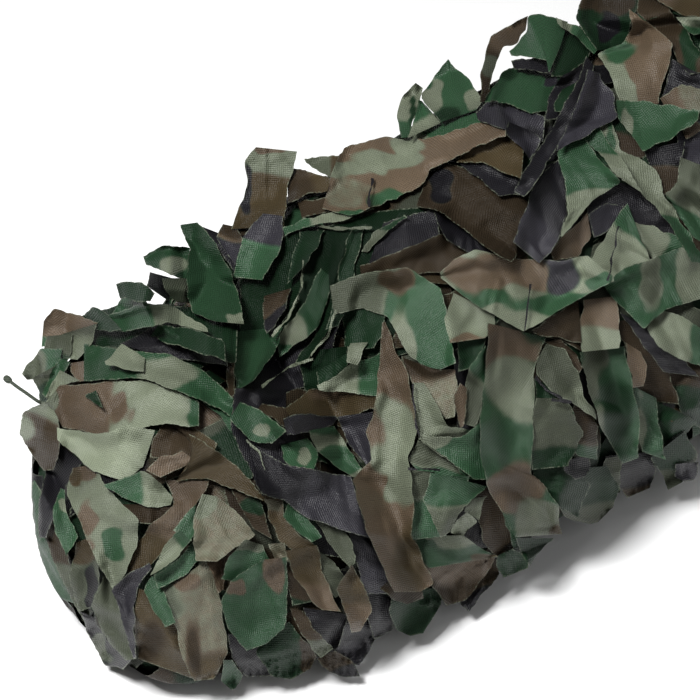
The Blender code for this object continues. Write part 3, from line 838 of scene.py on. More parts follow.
HEROES = [hero_of(*row) for row in (
    # the bowl of the valley, in black and the darkened greens: painted shade of the hollow
    ("black", "240,236 236,300 238,402", "348,222 345,300 322,384"),
    ("pitch", "300,224 268,250 240,280 240,332", "320,238 306,270 296,305 270,338"),
    ("pitch", "318,228 305,268 298,300 276,332", "352,226 334,262 324,300 306,342"),
    ("deep", "340,306 344,330 346,352", "386,312 384,332 374,348"),
    ("pitch", "304,352 300,366 306,392", "348,346 346,362 322,390"),
    ("pitch", "330,288 316,335 294,362", "352,288 336,318 306,364", 4),
    ("fir", "320,268 304,304 276,338", "334,280 317,330 279,357", 6, "sage", 0.62,
     (("green", 284, 350, 12, 6),)),
    ("fir", "233,332 233,362 236,391", "283,327 276,352 251,382", 4),
    ("brown", "223,342 226,370 228,400", "233,341 235,370 236,394", 3, "umber", 0.6),
    # end lobe, its top from the back
    ("deep", "82,316 120,304 180,306 238,316", "96,346 140,350 190,354 236,364"),
    ("black", "120,344 158,325 222,338", "150,354 190,360 228,366"),
    ("green", "109,318 122,298 122,284", "132,322 148,304 134,290", 4),
    ("green", "108,316 140,304 166,304 190,317 207,329", "116,332 148,327 168,322 188,327 208,332", 3,
     "sage", 0.45),
    ("deep", "158,325 192,328 225,342", "150,337 190,350 226,361", 5),
    ("deep", "84,314 92,307 106,313", "96,330 112,332 122,330"),
    ("brown", "98,324 80,315 56,309 43,320", "86,336 72,341 54,346 41,346", 3, None, 1,
     (("green", 54, 344, 18, 8),)),
    ("grey", "62,334 59,346 64,358", "97,324 92,342 78,360", 4, "sage", 0.4),
    ("grey", "47,336 44,352 45,374", "72,334 72,352 62,376", 2, "fir", 0.5),
    ("green", "62,348 40,349 22,374", "60,362 44,380 27,380", 5, "grey", 0.5),
    ("grey", "33,378 38,391 41,403", "54,366 50,384 46,402", 3, "deep", 0.5),
    ("brown", "71,363 69,372 78,382", "85,361 86,372 84,381"),
    ("green", "60,358 50,374 42,394", "70,362 60,378 46,398"),
    ("sage", "59,369 53,382 46,398", "80,381 64,386 50,399", 4),
    # end lobe, its left edge
    ("umber", "39,502 44,536 58,572 72,600 84,622", "56,510 64,545 74,572 84,600 94,622", 3, "grey", 0.5),
    ("black", "56,440 46,470 39,500 38,537", "82,462 68,484 56,512 46,538", 4),
    ("green", "60,488 52,508 56,532 66,557", "65,490 67,512 77,537 68,555", 3, None, 1,
     (("sage", 64, 505, 5, 6),)),
    ("sage", "44,401 24,413 18,433 30,450 43,471", "58,408 59,424 60,442 59,456 53,470", 4, "umber", 0.2,
     (("sage", 24, 426, 8, 12),)),
    ("black", "79,611 92,642 104,664 123,670", "94,618 106,638 120,650 133,658", 2, None, 1,
     (("grey", 98, 652, 10, 12),)),
    ("ochre", "76,543 69,575 79,612", "88,538 99,565 100,604", 4, "grey", 0.3,
     (("black", 91, 586, 5, 22),)),
    ("grey", "104,575 92,604 104,636 126,660", "111,580 121,612 129,638 136,659", 4),
    # end lobe, its front
    ("deep", "104,490 106,514", "146,504 132,516"),
    ("umber", "122,504 126,522", "178,506 172,526"),
    ("brown", "166,480 174,505 150,526 134,546 124,572", "209,481 200,500 179,532 160,556 142,574", 3,
     "ochre", 0.6),
    ("sage", "73,468 66,494 84,532 98,562 112,588", "94,464 108,490 139,520 137,546 119,584", 3, None, 1,
     (("brown", 88, 525, 9, 20), ("brown", 82, 470, 15, 8), ("ochre", 76, 476, 7, 8),
      ("green", 114, 545, 9, 20))),
    ("black", "134,596 138,620 148,628", "150,596 160,612 162,624"),
    ("ochre", "137,588 133,625 138,659", "178,600 180,640 198,681", 2, None, 1,
     (("umber", 150, 640, 12, 16),)),
    ("taupe", "186,575 159,591 176,628 182,660 195,681", "206,561 219,590 223,620 229,652 214,679", 5,
     "ochre", 0.78, (("grey", 168, 600, 10, 18), ("umber", 193, 650, 6, 24), ("brown", 180, 580, 16, 8))),
    ("green", "150,576 144,592 154,612 166,627", "158,578 163,592 171,608 175,623"),
    ("purple", "149,562 122,577 112,590 122,622 133,659", "151,568 137,588 134,604 134,630 136,658", 5),
    ("brown", "206,560 211,574 218,594", "241,541 229,562 222,590"),
    ("green", "192,542 176,562 154,576", "201,556 187,574 158,590", 4),
    ("green", "196,504 184,516 174,531", "195,524 195,533 191,541"),
    ("green", "179,529 164,548 150,575", "191,541 179,557 156,573", 5, "sage", 0.25),
    ("umber", "228,480 236,500 252,528", "258,492 264,510 272,540", 3, None, 1,
     (("deep", 252, 508, 12, 9),)),
    ("taupe", "202,494 194,516 193,538 196,561", "217,496 237,512 256,535 216,561", 6, None, 1,
     (("sage", 206, 505, 8, 10),)),
    # end lobe, what lies on its top
    ("umber", "163,423 153,440 150,458", "190,434 198,447 197,460"),
    ("brown", "182,451 160,457 146,470", "197,461 178,470 160,477", 5),
    ("umber", "162,422 190,424 218,443", "180,430 195,446 212,456", 3, "ochre", 0.5),
    ("ochre", "190,434 209,444 233,463 250,480 266,500", "194,458 174,482 206,478 232,488 263,501", 6),
    ("brown", "45,402 60,386 100,382 145,380 180,387 199,402",
     "54,409 62,428 100,434 132,430 165,424 199,426", 4, "pale", 0.4, (("brown", 120, 408, 10, 14),
      ("sage", 50, 396, 8, 12), ("green", 196, 415, 9, 14))),
    ("pale", "155,430 128,425 98,434 57,427", "143,468 122,481 94,472 57,440", 7),
    ("sage", "173,498 159,482 142,471 124,479 103,484", "171,504 158,508 144,506 124,498 104,486", 7,
     "green", 0.5),
    ("green", "196,400 212,408 234,434", "206,400 232,416 240,440", 4),
    ("green", "84,344 114,349 143,352 166,354 205,371 232,397 256,418 282,440",
     "84,380 114,379 144,378 160,384 196,399 218,408 242,424 281,443", 4, None, 1,
     (("sage", 168, 371, 24, 14), ("green", 205, 390, 16, 10))),
    ("sage", "145,358 122,343 105,362", "143,373 124,368 106,365", 8),
    # end lobe, its lower right
    ("black", "228,634 234,660 246,677", "272,636 280,660 274,676"),
    ("deep", "262,638 256,652 271,675 292,679", "288,622 304,640 317,656 310,669", 4, None, 1,
     (("umber", 310, 652, 8, 16),)),
    ("green", "224,660 220,680 232,690", "232,660 243,675 236,688"),
    ("black", "304,607 310,632 330,650", "347,614 353,630 346,646"),
    ("black", "346,620 338,648 322,661", "383,620 372,646 359,665", 3, "purple", 0.5),
    ("umber", "317,659 328,672 346,677", "334,651 352,660 360,676", 3, "black", 0.6),
    ("umber", "289,607 301,634 320,659", "303,611 315,630 334,648", 4, "grey", 0.6),
    ("black", "362,588 366,615 374,640", "399,590 397,612 393,630"),
    ("deep", "394,587 389,612 396,630 410,636", "441,589 440,604 434,618 424,633", 4),
    ("umber", "285,556 286,580 292,606", "290,560 302,582 315,601", 3, "deep", 0.8),
    ("grey", "318,551 322,575 335,598", "331,560 346,578 343,593"),
    ("black", "345,523 354,552 366,594", "369,534 383,560 393,594", 4, "purple", 0.6),
    ("grey", "315,519 326,540 349,568", "342,527 353,545 355,563", 4),
    ("ochre", "264,499 270,520 280,543 300,553", "283,499 285,520 301,536 319,548", 4, None, 1,
     (("taupe", 272, 505, 9, 8),)),
    ("green", "288,501 283,516 300,535 312,542", "295,503 307,516 317,530 321,538", 5),
    ("taupe", "268,544 276,562", "284,543 290,562"),
    ("ochre", "284,551 296,578 310,600 322,610", "317,545 323,572 333,596 341,612", 6, "brown", 0.5),
    ("ochre", "350,565 336,590 346,616 352,633", "353,565 367,592 372,612 360,631", 6, "brown", 0.6),
    ("green", "245,539 229,556 221,579", "262,545 271,562 250,584", 4, None, 1,
     (("grey", 250, 543, 14, 9),)),
    ("green", "262,560 232,581 221,600 226,628 246,651", "287,557 287,580 287,604 285,628 266,644", 7,
     None, 1, (("brown", 277, 572, 11, 15), ("brown", 236, 588, 9, 6))),
    # the valley's front
    # painted shade: a black lobe in the gap under the lobes of the valley's front
    ("black", "234,388 230,430 262,496", "302,390 306,440 322,482"),
    ("umber", "262,404 285,408 298,422", "256,411 275,419 290,431", 2),
    ("umber", "286,392 300,388 312,392", "286,408 296,410 314,408", 2),
    ("ochre", "285,408 312,388 345,389 379,396", "290,417 316,417 345,417 376,408", 4, None, 1,
     (("brown", 330, 392, 20, 6),)),
    ("purple", "283,418 308,413 339,418", "287,435 308,433 333,425"),
    ("green", "308,431 316,448 335,466 352,477", "334,426 346,444 359,462 365,479", 4, "sage", 0.12,
     (("green", 340, 462, 22, 16),)),
    ("green", "281,445 284,462 304,473", "308,438 319,452 314,469", 5, None, 1,
     (("sage", 304, 456, 5, 9),)),
    ("purple", "336,417 350,444 367,466", "372,412 377,440 373,463", 5),
    ("black", "250,446 284,464 322,471 351,476", "262,493 286,502 312,521 369,538", 6, "purple", 0.5),
    ("green", "240,402 262,411 286,432", "230,418 250,441 272,443", 5, None, 1,
     (("sage", 262, 430, 8, 5),)),
    ("deep", "316,372 318,385 322,390", "350,352 348,366 342,380"),
    # the valley's back
    ("deep", "116,284 140,281 155,293", "120,298 136,301 150,302", 4),
    ("black", "150,272 147,286", "172,278 170,302"),
    ("fir", "190,248 162,244 143,256", "187,280 162,271 146,265", 5, None, 1,
     (("sage", 172, 266, 12, 8),)),
    ("grey", "162,278 166,292 176,302", "190,278 191,290 195,304", 4, "sage", 0.7),
    ("black", "203,226 216,246 236,274", "222,234 234,250 242,262"),
    ("umber", "223,224 216,238 236,265", "236,227 244,240 241,257", 3, "purple", 0.3),
    ("umber", "297,199 314,200 332,195", "302,217 320,214 338,207"),
    ("umber", "287,166 305,171 331,177", "288,203 308,194 330,190", 3, "ochre", 0.6),
    ("ochre", "341,155 318,156 304,159", "335,179 320,173 306,163", 3, "grey", 0.4),
    ("ochre", "231,229 242,200 248,180 244,160 256,147", "285,226 286,200 288,182 294,164 298,152", 4,
     "sage", 0.66, (("black", 244, 186, 6, 22), ("brown", 270, 149, 14, 4))),
    ("purple", "262,213 243,236 232,277", "283,216 282,246 262,280", 6, "green", 0.42),
    ("fir", "180,225 189,248 186,285 192,313 218,322", "198,222 215,242 233,276 241,306 244,324", 9,
     None, 1, (("sage", 236, 319, 9, 5),)),
    # main body, the hollows of its upper part, mostly in black and darkened dyes: painted shade
    ("pitch", "326,226 376,212 440,204", "330,300 380,264 440,245"),
    ("black", "384,222 436,208", "368,264 440,236"),
    ("grey", "362,252 372,234 404,214", "367,252 384,234 407,217", 2, "deep", 0.5),
    ("deep", "352,228 340,262 334,300 326,330", "366,224 356,262 350,296 340,326", 5),
    ("deep", "300,232 292,256 286,284", "324,230 316,248 304,266", 4),
    ("umber", "264,296 262,316 266,334", "290,288 286,306 276,326", 4, "black", 0.5),
    ("grey", "300,221 330,227 372,227", "300,223 330,229.5 372,229", 0.5),
    ("umber", "360,266 402,250 440,234 480,242", "362,286 400,276 440,272 492,254"),
    ("black", "432,208 446,240", "506,258 484,262", 2),
    ("black", "614,180 588,204 586,232", "642,190 672,222 684,250"),
    ("umber", "664,364 676,396 684,420", "704,356 704,396 704,430", 3, "deep", 0.4),
    # main body, its left
    ("black", "486,334 455,350 453,390 458,430", "490,340 486,380 484,412 476,434"),
    ("black", "408,436 404,470 416,500", "470,440 466,480 450,510"),
    ("grey", "330,286 372,271 408,267 441,288 449,322 456,363",
     "334,314 362,308 387,316 398,338 409,357 434,372", 6, "green", 0.4, (("umber", 396, 281, 15, 11),
      ("sage", 402, 342, 12, 28))),
    ("umber", "402,357 412,384 432,402 446,419", "440,371 456,369 457,392 454,417", 3, "taupe", 0.3),
    ("sage", "412,383 415,410 419,440", "422,383 436,402 450,428"),
    ("grey", "418,440 409,460 424,480", "446,454 462,470 470,490", 3, "green", 0.5),
    ("deep", "459,340 458,372", "488,338 476,366"),
    ("green", "485,345 470,366 464,392 464,424", "488,350 485,380 482,408 476,427", 3, "grey", 0.4),
    ("brown", "460,383 453,400 461,428", "467,388 466,404 464,426", 2),
    ("sage", "454,293 445,320 450,343", "495,313 495,328 486,338", 4, None, 1,
     (("brown", 468, 341, 26, 7),)),
    ("green", "382,352 356,362 317,386", "379,396 350,393 319,390", 5, "sage", 0.4),
    ("sage", "350,343 346,362", "368,342 357,365", 4),
    ("green", "532,418 483,418 470,431 442,424 419,436", "532,472 498,478 470,480 446,459 421,441", 4,
     "sage", 0.62),
    ("green", "422,476 412,500 412,530", "470,476 464,500 444,530", 4),
    # main body, its lower middle
    ("black", "452,488 444,520 466,548", "494,486 492,515 486,548"),
    ("umber", "474,492 478,520 484,545 498,558", "490,486 506,502 514,530 518,552", 4),
    ("green", "486,486 500,504 508,530 516,560", "494,486 509,502 517,530 528,564"),
    ("grey", "470,500 464,512 478,521", "487,496 482,506 480,514", 3, "sage", 0.4),
    ("sage", "457,520 450,532 462,538", "468,512 478,522 468,530"),
    ("umber", "380,588 392,600 408,604", "402,570 420,582 424,598"),
    ("umber", "472,566 458,584 460,604 468,612", "500,556 500,576 480,596 474,606", 3, "black", 0.6),
    ("deep", "497,556 496,566 503,578", "512,549 528,558 528,568"),
    ("deep", "516,538 522,556 530,566", "554,538 546,544 536,556"),
    ("brown", "424,562 428,580 446,606", "496,556 484,578 466,600", 3, "umber", 0.5),
    ("sage", "412,536 416,554 430,568", "462,536 480,546 498,557", 4, "green", 0.34,
     (("green", 425, 545, 10, 7), ("ochre", 486, 560, 12, 5))),
    ("grey", "412,470 410,505 412,540", "436,472 440,506 446,536", 3, "green", 0.4),
    ("green", "430,472 424,500 440,538", "488,487 464,506 450,532", 5, "grey", 0.5),
    # main body, its right middle
    ("black", "605,456 612,478 626,498", "650,452 656,470 650,488", 3, "umber", 0.75),
    ("grey", "606,458 599,476 616,494", "622,456 620,474 620,492"),
    ("deep", "560,470 556,500 566,518 590,524", "608,466 620,488 612,508 598,522", 3, "grey", 0.7),
    ("deep", "533,466 534,480 552,502", "572,466 590,486 578,518", 4),
    ("black", "566,460 564,470 576,480", "588,456 592,466 586,476"),
    ("umber", "576,400 566,430 578,456", "592,412 598,430 597,460", 3, "green", 0.66),
    ("deep", "534,378 536,396 534,408", "552,386 566,400 574,414"),
    ("grey", "536,398 530,434 532,470", "566,398 584,434 568,466", 5, "deep", 0.72),
    ("umber", "538,334 560,340 584,352", "566,318 586,330 586,350"),
    ("umber", "545,342 560,350 578,376", "560,340 576,352 582,368"),
    ("grey", "537,360 536,374 556,396 572,402 596,420", "546,344 564,348 578,372 584,396 596,414", 5,
     "sage", 0.55),
    ("umber", "612,322 630,356 640,400", "642,318 664,356 680,404"),
    ("deep", "655,402 656,425 664,456", "680,412 698,422 672,448", 4),
    ("deep", "650,458 662,474 668,490", "684,432 698,456 684,482", 3, "grey", 0.5),
    ("purple", "676,464 674,476 684,482", "698,462 699,472 694,480"),
    ("green", "632,386 638,420 642,452", "656,398 660,428 666,460", 5, None, 1,
     (("sage", 640, 425, 5, 28),)),
    ("green", "580,352 588,388 600,424 622,464", "624,346 634,388 640,424 638,458", 6, None, 1,
     (("grey", 590, 372, 12, 26), ("sage", 600, 430, 8, 26), ("deep", 616, 410, 14, 40))),
    ("brown", "584,300 580,324 582,352", "616,296 620,322 620,348", 4, "sage", 0.6),
    # the long leaves on top
    ("green", "420,436 440,437 462,436 478,426 490,412", "420,438 438,452 456,466 476,480 502,478", 3,
     None, 1, (("sage", 434, 440, 14, 8),)),
    ("green", "488,323 487,350 484,385 480,420 480,450 486,484 500,510 516,537",
     "547,338 535,362 534,400 533,440 531,474 546,486 558,506 562,534", 5, None, 1,
     (("brown", 506, 350, 24, 26), ("sage", 514, 388, 24, 24), ("brown", 518, 490, 28, 20),
      ("sage", 540, 522, 26, 19), ("ochre", 558, 532, 10, 10))),
    ("brown",
     "383,322 380,350 378,380 374,410 366,432 372,460 352,480 358,500 366,530 380,560 388,582 394,592",
     "386,322 394,345 408,375 412,400 418,432 408,458 413,488 414,508 412,535 424,562 434,584 420,592", 5,
     None, 1, (("pale", 398, 436, 20, 30), ("sage", 403, 485, 14, 18), ("ochre", 410, 556, 16, 26))),
    # main body, its upper right
    ("umber", "578,298 556,314 532,330", "582,344 560,338 534,334", 2),
    ("black", "620,312 640,342 664,372", "650,328 676,352 700,376", 2),
    ("brown", "626,342 628,364 634,388", "640,352 648,366 644,386"),
    ("brown", "588,213 566,234 550,250", "591,236 578,256 554,262", 3, "umber", 0.5),
    ("purple", "628,206 606,203 588,214", "626,210 612,228 594,238"),
    ("sage", "632,222 652,226 680,238", "640,244 654,262 690,264", 3, "green", 0.6),
    ("green", "626,203 606,236 584,268", "640,236 652,262 612,282", 4, "sage", 0.3),
    ("pale", "652,313 666,311 684,318 704,330", "647,330 660,347 678,360 704,366", 7, "green", 0.72),
    ("green", "603,284 625,268 650,260 682,247 708,262", "606,290 620,306 644,329 664,310 708,296", 6,
     None, 1, (("sage", 692, 276, 14, 24), ("grey", 650, 284, 9, 24))),
    ("sage", "440,273 455,258 476,249 502,257 530,259 560,261 588,256 613,276",
     "441,277 462,296 480,308 496,315 523,333 545,319 576,301 614,281", 6, None, 1,
     (("green", 474, 296, 28, 9), ("green", 560, 302, 40, 11), ("brown", 468, 272, 30, 16),
      ("brown", 506, 270, 28, 17), ("brown", 534, 274, 20, 14), ("purple", 561, 272, 17, 17),
      ("green", 602, 284, 12, 9))),
    ("umber", "445,162 468,168 498,194 528,193 529,206 520,230 515,258",
     "424,184 416,206 444,214 468,232 484,246 498,256 511,262", 6, None, 1,
     (("black", 438, 184, 12, 14),)),
    ("black", "560,158 536,178 527,206 513,242", "565,182 567,214 556,246 540,264", 4, "purple", 0.6),
    ("black", "458,160 482,162 520,177 536,176", "462,166 482,182 500,196 526,194"),
    ("purple", "676,124 676,158", "708,120 708,168", 2),
    ("black", "642,148 652,170 664,195", "684,142 682,172 672,192", 2, "umber", 0.5),
    ("grey", "680,157 677,184 665,194 692,236", "708,168 708,196 708,222 708,246", 4, "green", 0.6),
    ("sage", "612,119 620,149 656,168 664,194 684,226 708,264",
     "596,127 606,152 626,180 646,197 668,222 692,262", 6, "green", 0.7, (("green", 610, 150, 5, 24),)),
    ("green", "576,130 604,160 626,184", "598,126 622,160 644,194", 5, "sage", 0.4),
    ("green", "576,131 557,152 565,186 567,214 560,236", "578,131 600,160 622,182 594,198 562,237", 5,
     "sage", 0.55),
    ("ochre", "455,160 484,142 508,133 524,148", "457,162 482,163 502,171 521,180", 6),
    ("green", "404,138 441,119 482,102", "404,152 455,136 500,126", 3, None, 1,
     (("sage", 412, 142, 16, 10),)),
    ("green", "283,228 302,220 332,212 368,204", "285,236 304,227 346,220 374,209", 3, "sage", 0.3),
    ("brown", "328,186 334,166 345,147 384,136 404,140 430,138 458,129 482,122 506,129",
     "322,208 350,216 376,207 402,195 424,184 430,170 450,160 476,147 506,136", 6, None, 1,
     (("sage", 346, 170, 26, 6), ("sage", 384, 159, 26, 8), ("sage", 404, 146, 15, 9),
      ("taupe", 352, 192, 22, 14), ("green", 392, 198, 24, 8), ("green", 345, 215, 24, 6))),
    # crown, from the left
    ("green", "401,138 396,118 404,94 416,83", "408,137 414,120 420,104 423,88", 5, "sage", 0.4,
     (("deep", 413, 118, 3, 16),)),
    ("sage", "408,138 414,118 419,100", "441,123 432,112 421,101", 3, "green", 0.4),
    ("green", "441,122 424,103 421,94 434,78 447,59", "476,110 483,100 470,80 459,71 449,60", 6, None, 1,
     (("sage", 431, 98, 9, 14), ("sage", 476, 98, 8, 11), ("deep", 448, 113, 10, 7))),
    ("umber", "480,102 481,80 484,56 491,36 510,25 528,16", "486,102 491,80 498,57 504,48 517,42 526,30",
     4, "brown", 0.6, (("grey", 489, 66, 7, 11),)),
    ("purple", "476,114 487,101 510,102 545,118", "478,120 500,129 520,134 543,142", 4, None, 1,
     (("black", 532, 135, 12, 7),)),
    ("black", "508,122 506,133 522,148", "534,132 542,140 530,160", 3, "purple", 0.3),
    ("green", "562,74 538,67 516,67 502,71 486,99", "546,112 526,112 508,104 494,101 484,102", 5, None, 1,
     (("deep", 508, 75, 8, 6), ("purple", 552, 79, 7, 6))),
    ("black", "554,56 530,58 511,60", "562,77 536,71 514,68", 2),
    ("deep", "560,22 556,50 550,76", "594,46 585,62 566,77", 4),
    ("green", "568,22 541,13 528,16 527,32 509,51", "560,48 549,72 548,61 530,57 511,55", 6),
    ("sage", "556,17 578,26 601,46", "558,23 574,36 594,54", 4, "green", 0.3),
    ("black", "560,76 548,100 544,120", "592,60 584,90 570,118", 2),
    ("deep", "563,90 552,104 556,112", "582,78 578,92 566,112"),
    ("black", "587,56 575,84 560,114 540,146 520,178 514,192",
     "594,66 590,84 574,118 556,150 540,176 524,197", 4),
    ("deep", "598,50 584,32 575,18 586,-8", "612,51 626,44 632,20 642,-8", 4, None, 1,
     (("umber", 608, 2, 20, 12), ("black", 608, 28, 12, 12))),
    ("umber", "640,-6 636,12 656,30 672,48 684,76", "662,-6 672,14 686,30 700,52 708,76", 4, None, 1,
     (("deep", 694, 44, 12, 24),)),
    ("brown", "644,-8 668,8 686,16 708,19", "664,-12 682,-10 696,-8 708,-6", 4, "ochre", 0.4),
    ("sage", "676,17 684,28 694,35", "702,17 706,26 708,32", 3, "green", 0.5),
    ("black", "662,98 672,58 690,74", "702,100 706,80 708,72"),
    ("brown", "660,98 682,83 708,92", "664,105 686,113 708,111", 5, "taupe", 0.4),
    ("purple", "588,69 580,94 570,120 555,151", "598,73 614,95 617,118 562,149", 5),
    ("brown", "620,100 612,80 598,54 622,44 632,26 629,8", "658,104 664,80 671,56 673,43 652,26 631,9", 7,
     None, 1, (("sage", 608, 76, 16, 24), ("green", 618, 46, 16, 14), ("sage", 624, 90, 10, 12))),
    ("brown", "682,131 690,121 700,123", "686,139 694,135 702,131", 4),
    ("green", "616,100 640,101 668,105 700,111", "618,118 643,151 672,138 698,120", 6, None, 1,
     (("sage", 626, 128, 5, 16),)),
    # slits and seams: thin black strips, painted shade in the cuts and along the seams
    ("black", "530,284 527,306 523,331", "532,284 528.5,306 525,331", 0.5),
    ("black", "371,178 369,192 368,207", "373,178 371,192 370,207", 0.5),
    ("black", "618,226 613,250 607,281", "619.5,226 614.5,250 609,281", 0.5),
    ("black", "411,384 414,410 418,438", "412.5,384 415.5,410 420,438", 0.5),
    ("black", "408,467 424,468 440,469", "408,469 424,470 440,471", 0.5),
    ("black", "536,376 547,389 562,398", "535,378 546,391 562,401", 0.5),
    ("black", "552,398 562,398 572,402", "551,401 561,402 570,404", 0.5),
    ("deep", "85,396 90,393 96,390", "86,398 97,405 103,408", 0.5),
    # light cut edges and loose threads in the valley
    ("sage", "262,386 288,366 313,358", "262,388 288,368 313,360", 1),
    ("sage", "303,260 300,290 288,316 271,335", "304,260 301.5,290 290,317 272,337"),
    ("sage", "336,310 326,334 311,355", "338,311 328,335 312,357"),
    ("sage", "246,440 258,452 264,470", "247,439 259.5,452 265.5,470", 1),
)]

# Main creases of the photograph, from one pixel to another: how far the cloth stands out at it, in
# pixels, and how far its slope reaches to the left and to the right of the way along it.
Crease = namedtuple("Crease", "u v to_u to_v height left right")
CREASES = [Crease(*row) for row in (
    # the end lobe
    (70, 385, 103, 408, -3.5, 5, 12), (103, 383, 126, 426, 3.5, 14, 6), (83, 433, 106, 466, -4, 7, 14),
    (113, 440, 139, 466, 3.5, 14, 7), (128, 470, 150, 520, 3, 5, 12), (70, 500, 96, 560, -3, 12, 5),
    (205, 505, 232, 545, 3, 4, 12), (208, 590, 216, 650, 3.5, 12, 5), (150, 560, 128, 612, -3, 5, 12),
    (262, 560, 280, 615, 3.5, 12, 6), (300, 520, 325, 590, -3, 6, 12), (105, 360, 190, 384, 3, 8, 5),
    # the arch and its neighbours
    (516, 262, 530, 282, 4, 12, 4), (500, 282, 493, 308, 5, 5, 6), (487, 282, 480, 300, -3, 5, 8),
    (631, 225, 650, 259, -4, 4, 12), (625, 271, 650, 307, 4, 8, 6), (640, 266, 666, 304, -3.5, 5, 9),
    (657, 262, 680, 300, 4, 10, 5), (527, 241, 545, 261, 3.5, 4, 8), (560, 150, 590, 190, 4, 6, 14),
    (602, 140, 640, 196, -4, 14, 6), (668, 318, 684, 356, 4, 8, 8), (690, 180, 660, 220, 4, 8, 8),
    # the ridge and the bowl
    (384, 175, 430, 149, -4, 10, 5), (430, 149, 448, 158, 4, 5, 9),
    (289, 166, 296, 216, -4, 5, 12), (462, 165, 512, 215, 4, 16, 8), (440, 210, 500, 240, -3.5, 12, 6),
    (205, 235, 214, 300, 3.5, 8, 14), (352, 231, 319, 319, 5, 4, 12), (300, 240, 280, 310, -5, 12, 8),
    (265, 330, 240, 380, 4, 5, 12), (400, 280, 428, 330, 4, 10, 16), (380, 330, 360, 372, 4, 6, 12),
    # the lower middle
    (395, 330, 384, 400, 3.5, 8, 14), (384, 400, 380, 470, -3.5, 12, 6), (372, 480, 400, 560, 4, 10, 14),
    (505, 330, 498, 380, 4, 14, 6), (540, 350, 512, 420, -3.5, 7, 14), (520, 450, 505, 500, 3.5, 14, 8),
    (545, 490, 530, 536, 4, 8, 14), (575, 345, 590, 420, 4, 8, 10), (598, 330, 622, 400, -4, 6, 12),
    (640, 400, 600, 450, 4, 8, 8), (450, 480, 440, 530, 3, 8, 8), (470, 560, 430, 590, 3, 8, 6),
)]

HERO_STEP_ALONG = 2.6          # pixels
HERO_STEP_ACROSS = 3.0
THREAD_WIDTH = 4.0             # pixels: a strip under it is a thread or a slit, and lies a little higher
HERO_SEAT = 0.0050             # how far the lowest of them lie off the form
HERO_CUP = 0.0030              # how far their middles are higher or lower than their edges, at most
LIFT_STEP = 0.0016
EDGE_STANDS = 0.0052           # how far a free edge stands clear
STEEPEST = 2.1                 # how fast a lobe runs away from the camera, at most
HERO_SWAY = (22.0, 0.90)       # of a cut edge, in pixels: how long its waves are and how high
HERO_JAG = (6.0, 0.40)
RIGHT_EDGE = 200.0             # where on those waves the right edge begins
HERO_TONES = (0.80, 1.18)
# painted shade: a lobe's root is darker, where the lobes above cover it
ROOT_PAINTED_SHADE = 0.72               # how much darker a lobe's root is
ROOT_SHADE = 0.3               # the share of its length that is darker
SPOT_GROWTH = 1.15             # how far a spot's middle line lies out, as a share of its size
SPOT_EDGE = 0.60               # how softly a spot ends, as a share of its size
SPOT_SWAY = 0.34               # how unevenly
OTHER_EDGE = 9.0               # pixels that the change from one dye to the other takes
OTHER_SWAY = (50.0, 5.0)       # of the line where it is, in pixels


def rows_between(left, right):
    """The two cut edges, as lists of corners, with even rows put between them."""
    left, right = np.array(left, float), np.array(right, float)
    finer = ([], [])
    for number in range(len(left) - 1):
        longest = max(np.hypot(*(chain[number + 1] - chain[number])) for chain in (left, right))
        steps = np.linspace(0.0, 1.0, max(1, round(longest / HERO_STEP_ALONG)), endpoint=False)[:, None]
        for chain, made in zip((left, right), finer):
            made.append(chain[number] * (1 - steps) + chain[number + 1] * steps)
    chains = []
    for chain, made in zip((left, right), finer):
        whole = np.concatenate(made + [chain[-1:]])
        whole[1:-1] = 0.25 * whole[:-2] + 0.5 * whole[1:-1] + 0.25 * whole[2:]
        chains.append(whole)
    return chains


def creases_at(u, v):
    """How far the creases stand out at these pixels, in metres."""
    total = np.zeros_like(u)
    for crease in CREASES:
        run_u, run_v = crease.to_u - crease.u, crease.to_v - crease.v
        length = math.hypot(run_u, run_v)
        along = ((u - crease.u) * run_u + (v - crease.v) * run_v) / length ** 2
        off_u = u - crease.u - run_u * np.clip(along, 0.0, 1.0)
        off_v = v - crease.v - run_v * np.clip(along, 0.0, 1.0)
        reach = np.where(off_u * run_v - off_v * run_u > 0, crease.left, crease.right)
        total += crease.height * np.maximum(1.0 - np.hypot(off_u, off_v) / reach, 0.0)
    return total * PIXEL


def no_steeper(depth, u, v, rounds=50):
    """Brings a lobe's far parts nearer, so that it stands off a steep place as stiff cloth does."""
    down = np.hypot(np.diff(u, axis=0), np.diff(v, axis=0)) * PIXEL * STEEPEST
    over = np.hypot(np.diff(u, axis=1), np.diff(v, axis=1)) * PIXEL * STEEPEST
    for _ in range(rounds):
        depth[1:] = np.minimum(depth[1:], depth[:-1] + down)
        depth[:-1] = np.minimum(depth[:-1], depth[1:] + down)
        depth[:, 1:] = np.minimum(depth[:, 1:], depth[:, :-1] + over)
        depth[:, :-1] = np.minimum(depth[:, :-1], depth[:, 1:] + over)
    return depth


def dyed(fields, name, share):
    """A lobe's fields with this share of another dye at each point."""
    share = np.clip(share, 0.0, 1.0)[..., None]
    return fields * (1 - share) + np.array(DYES[name], float) * share


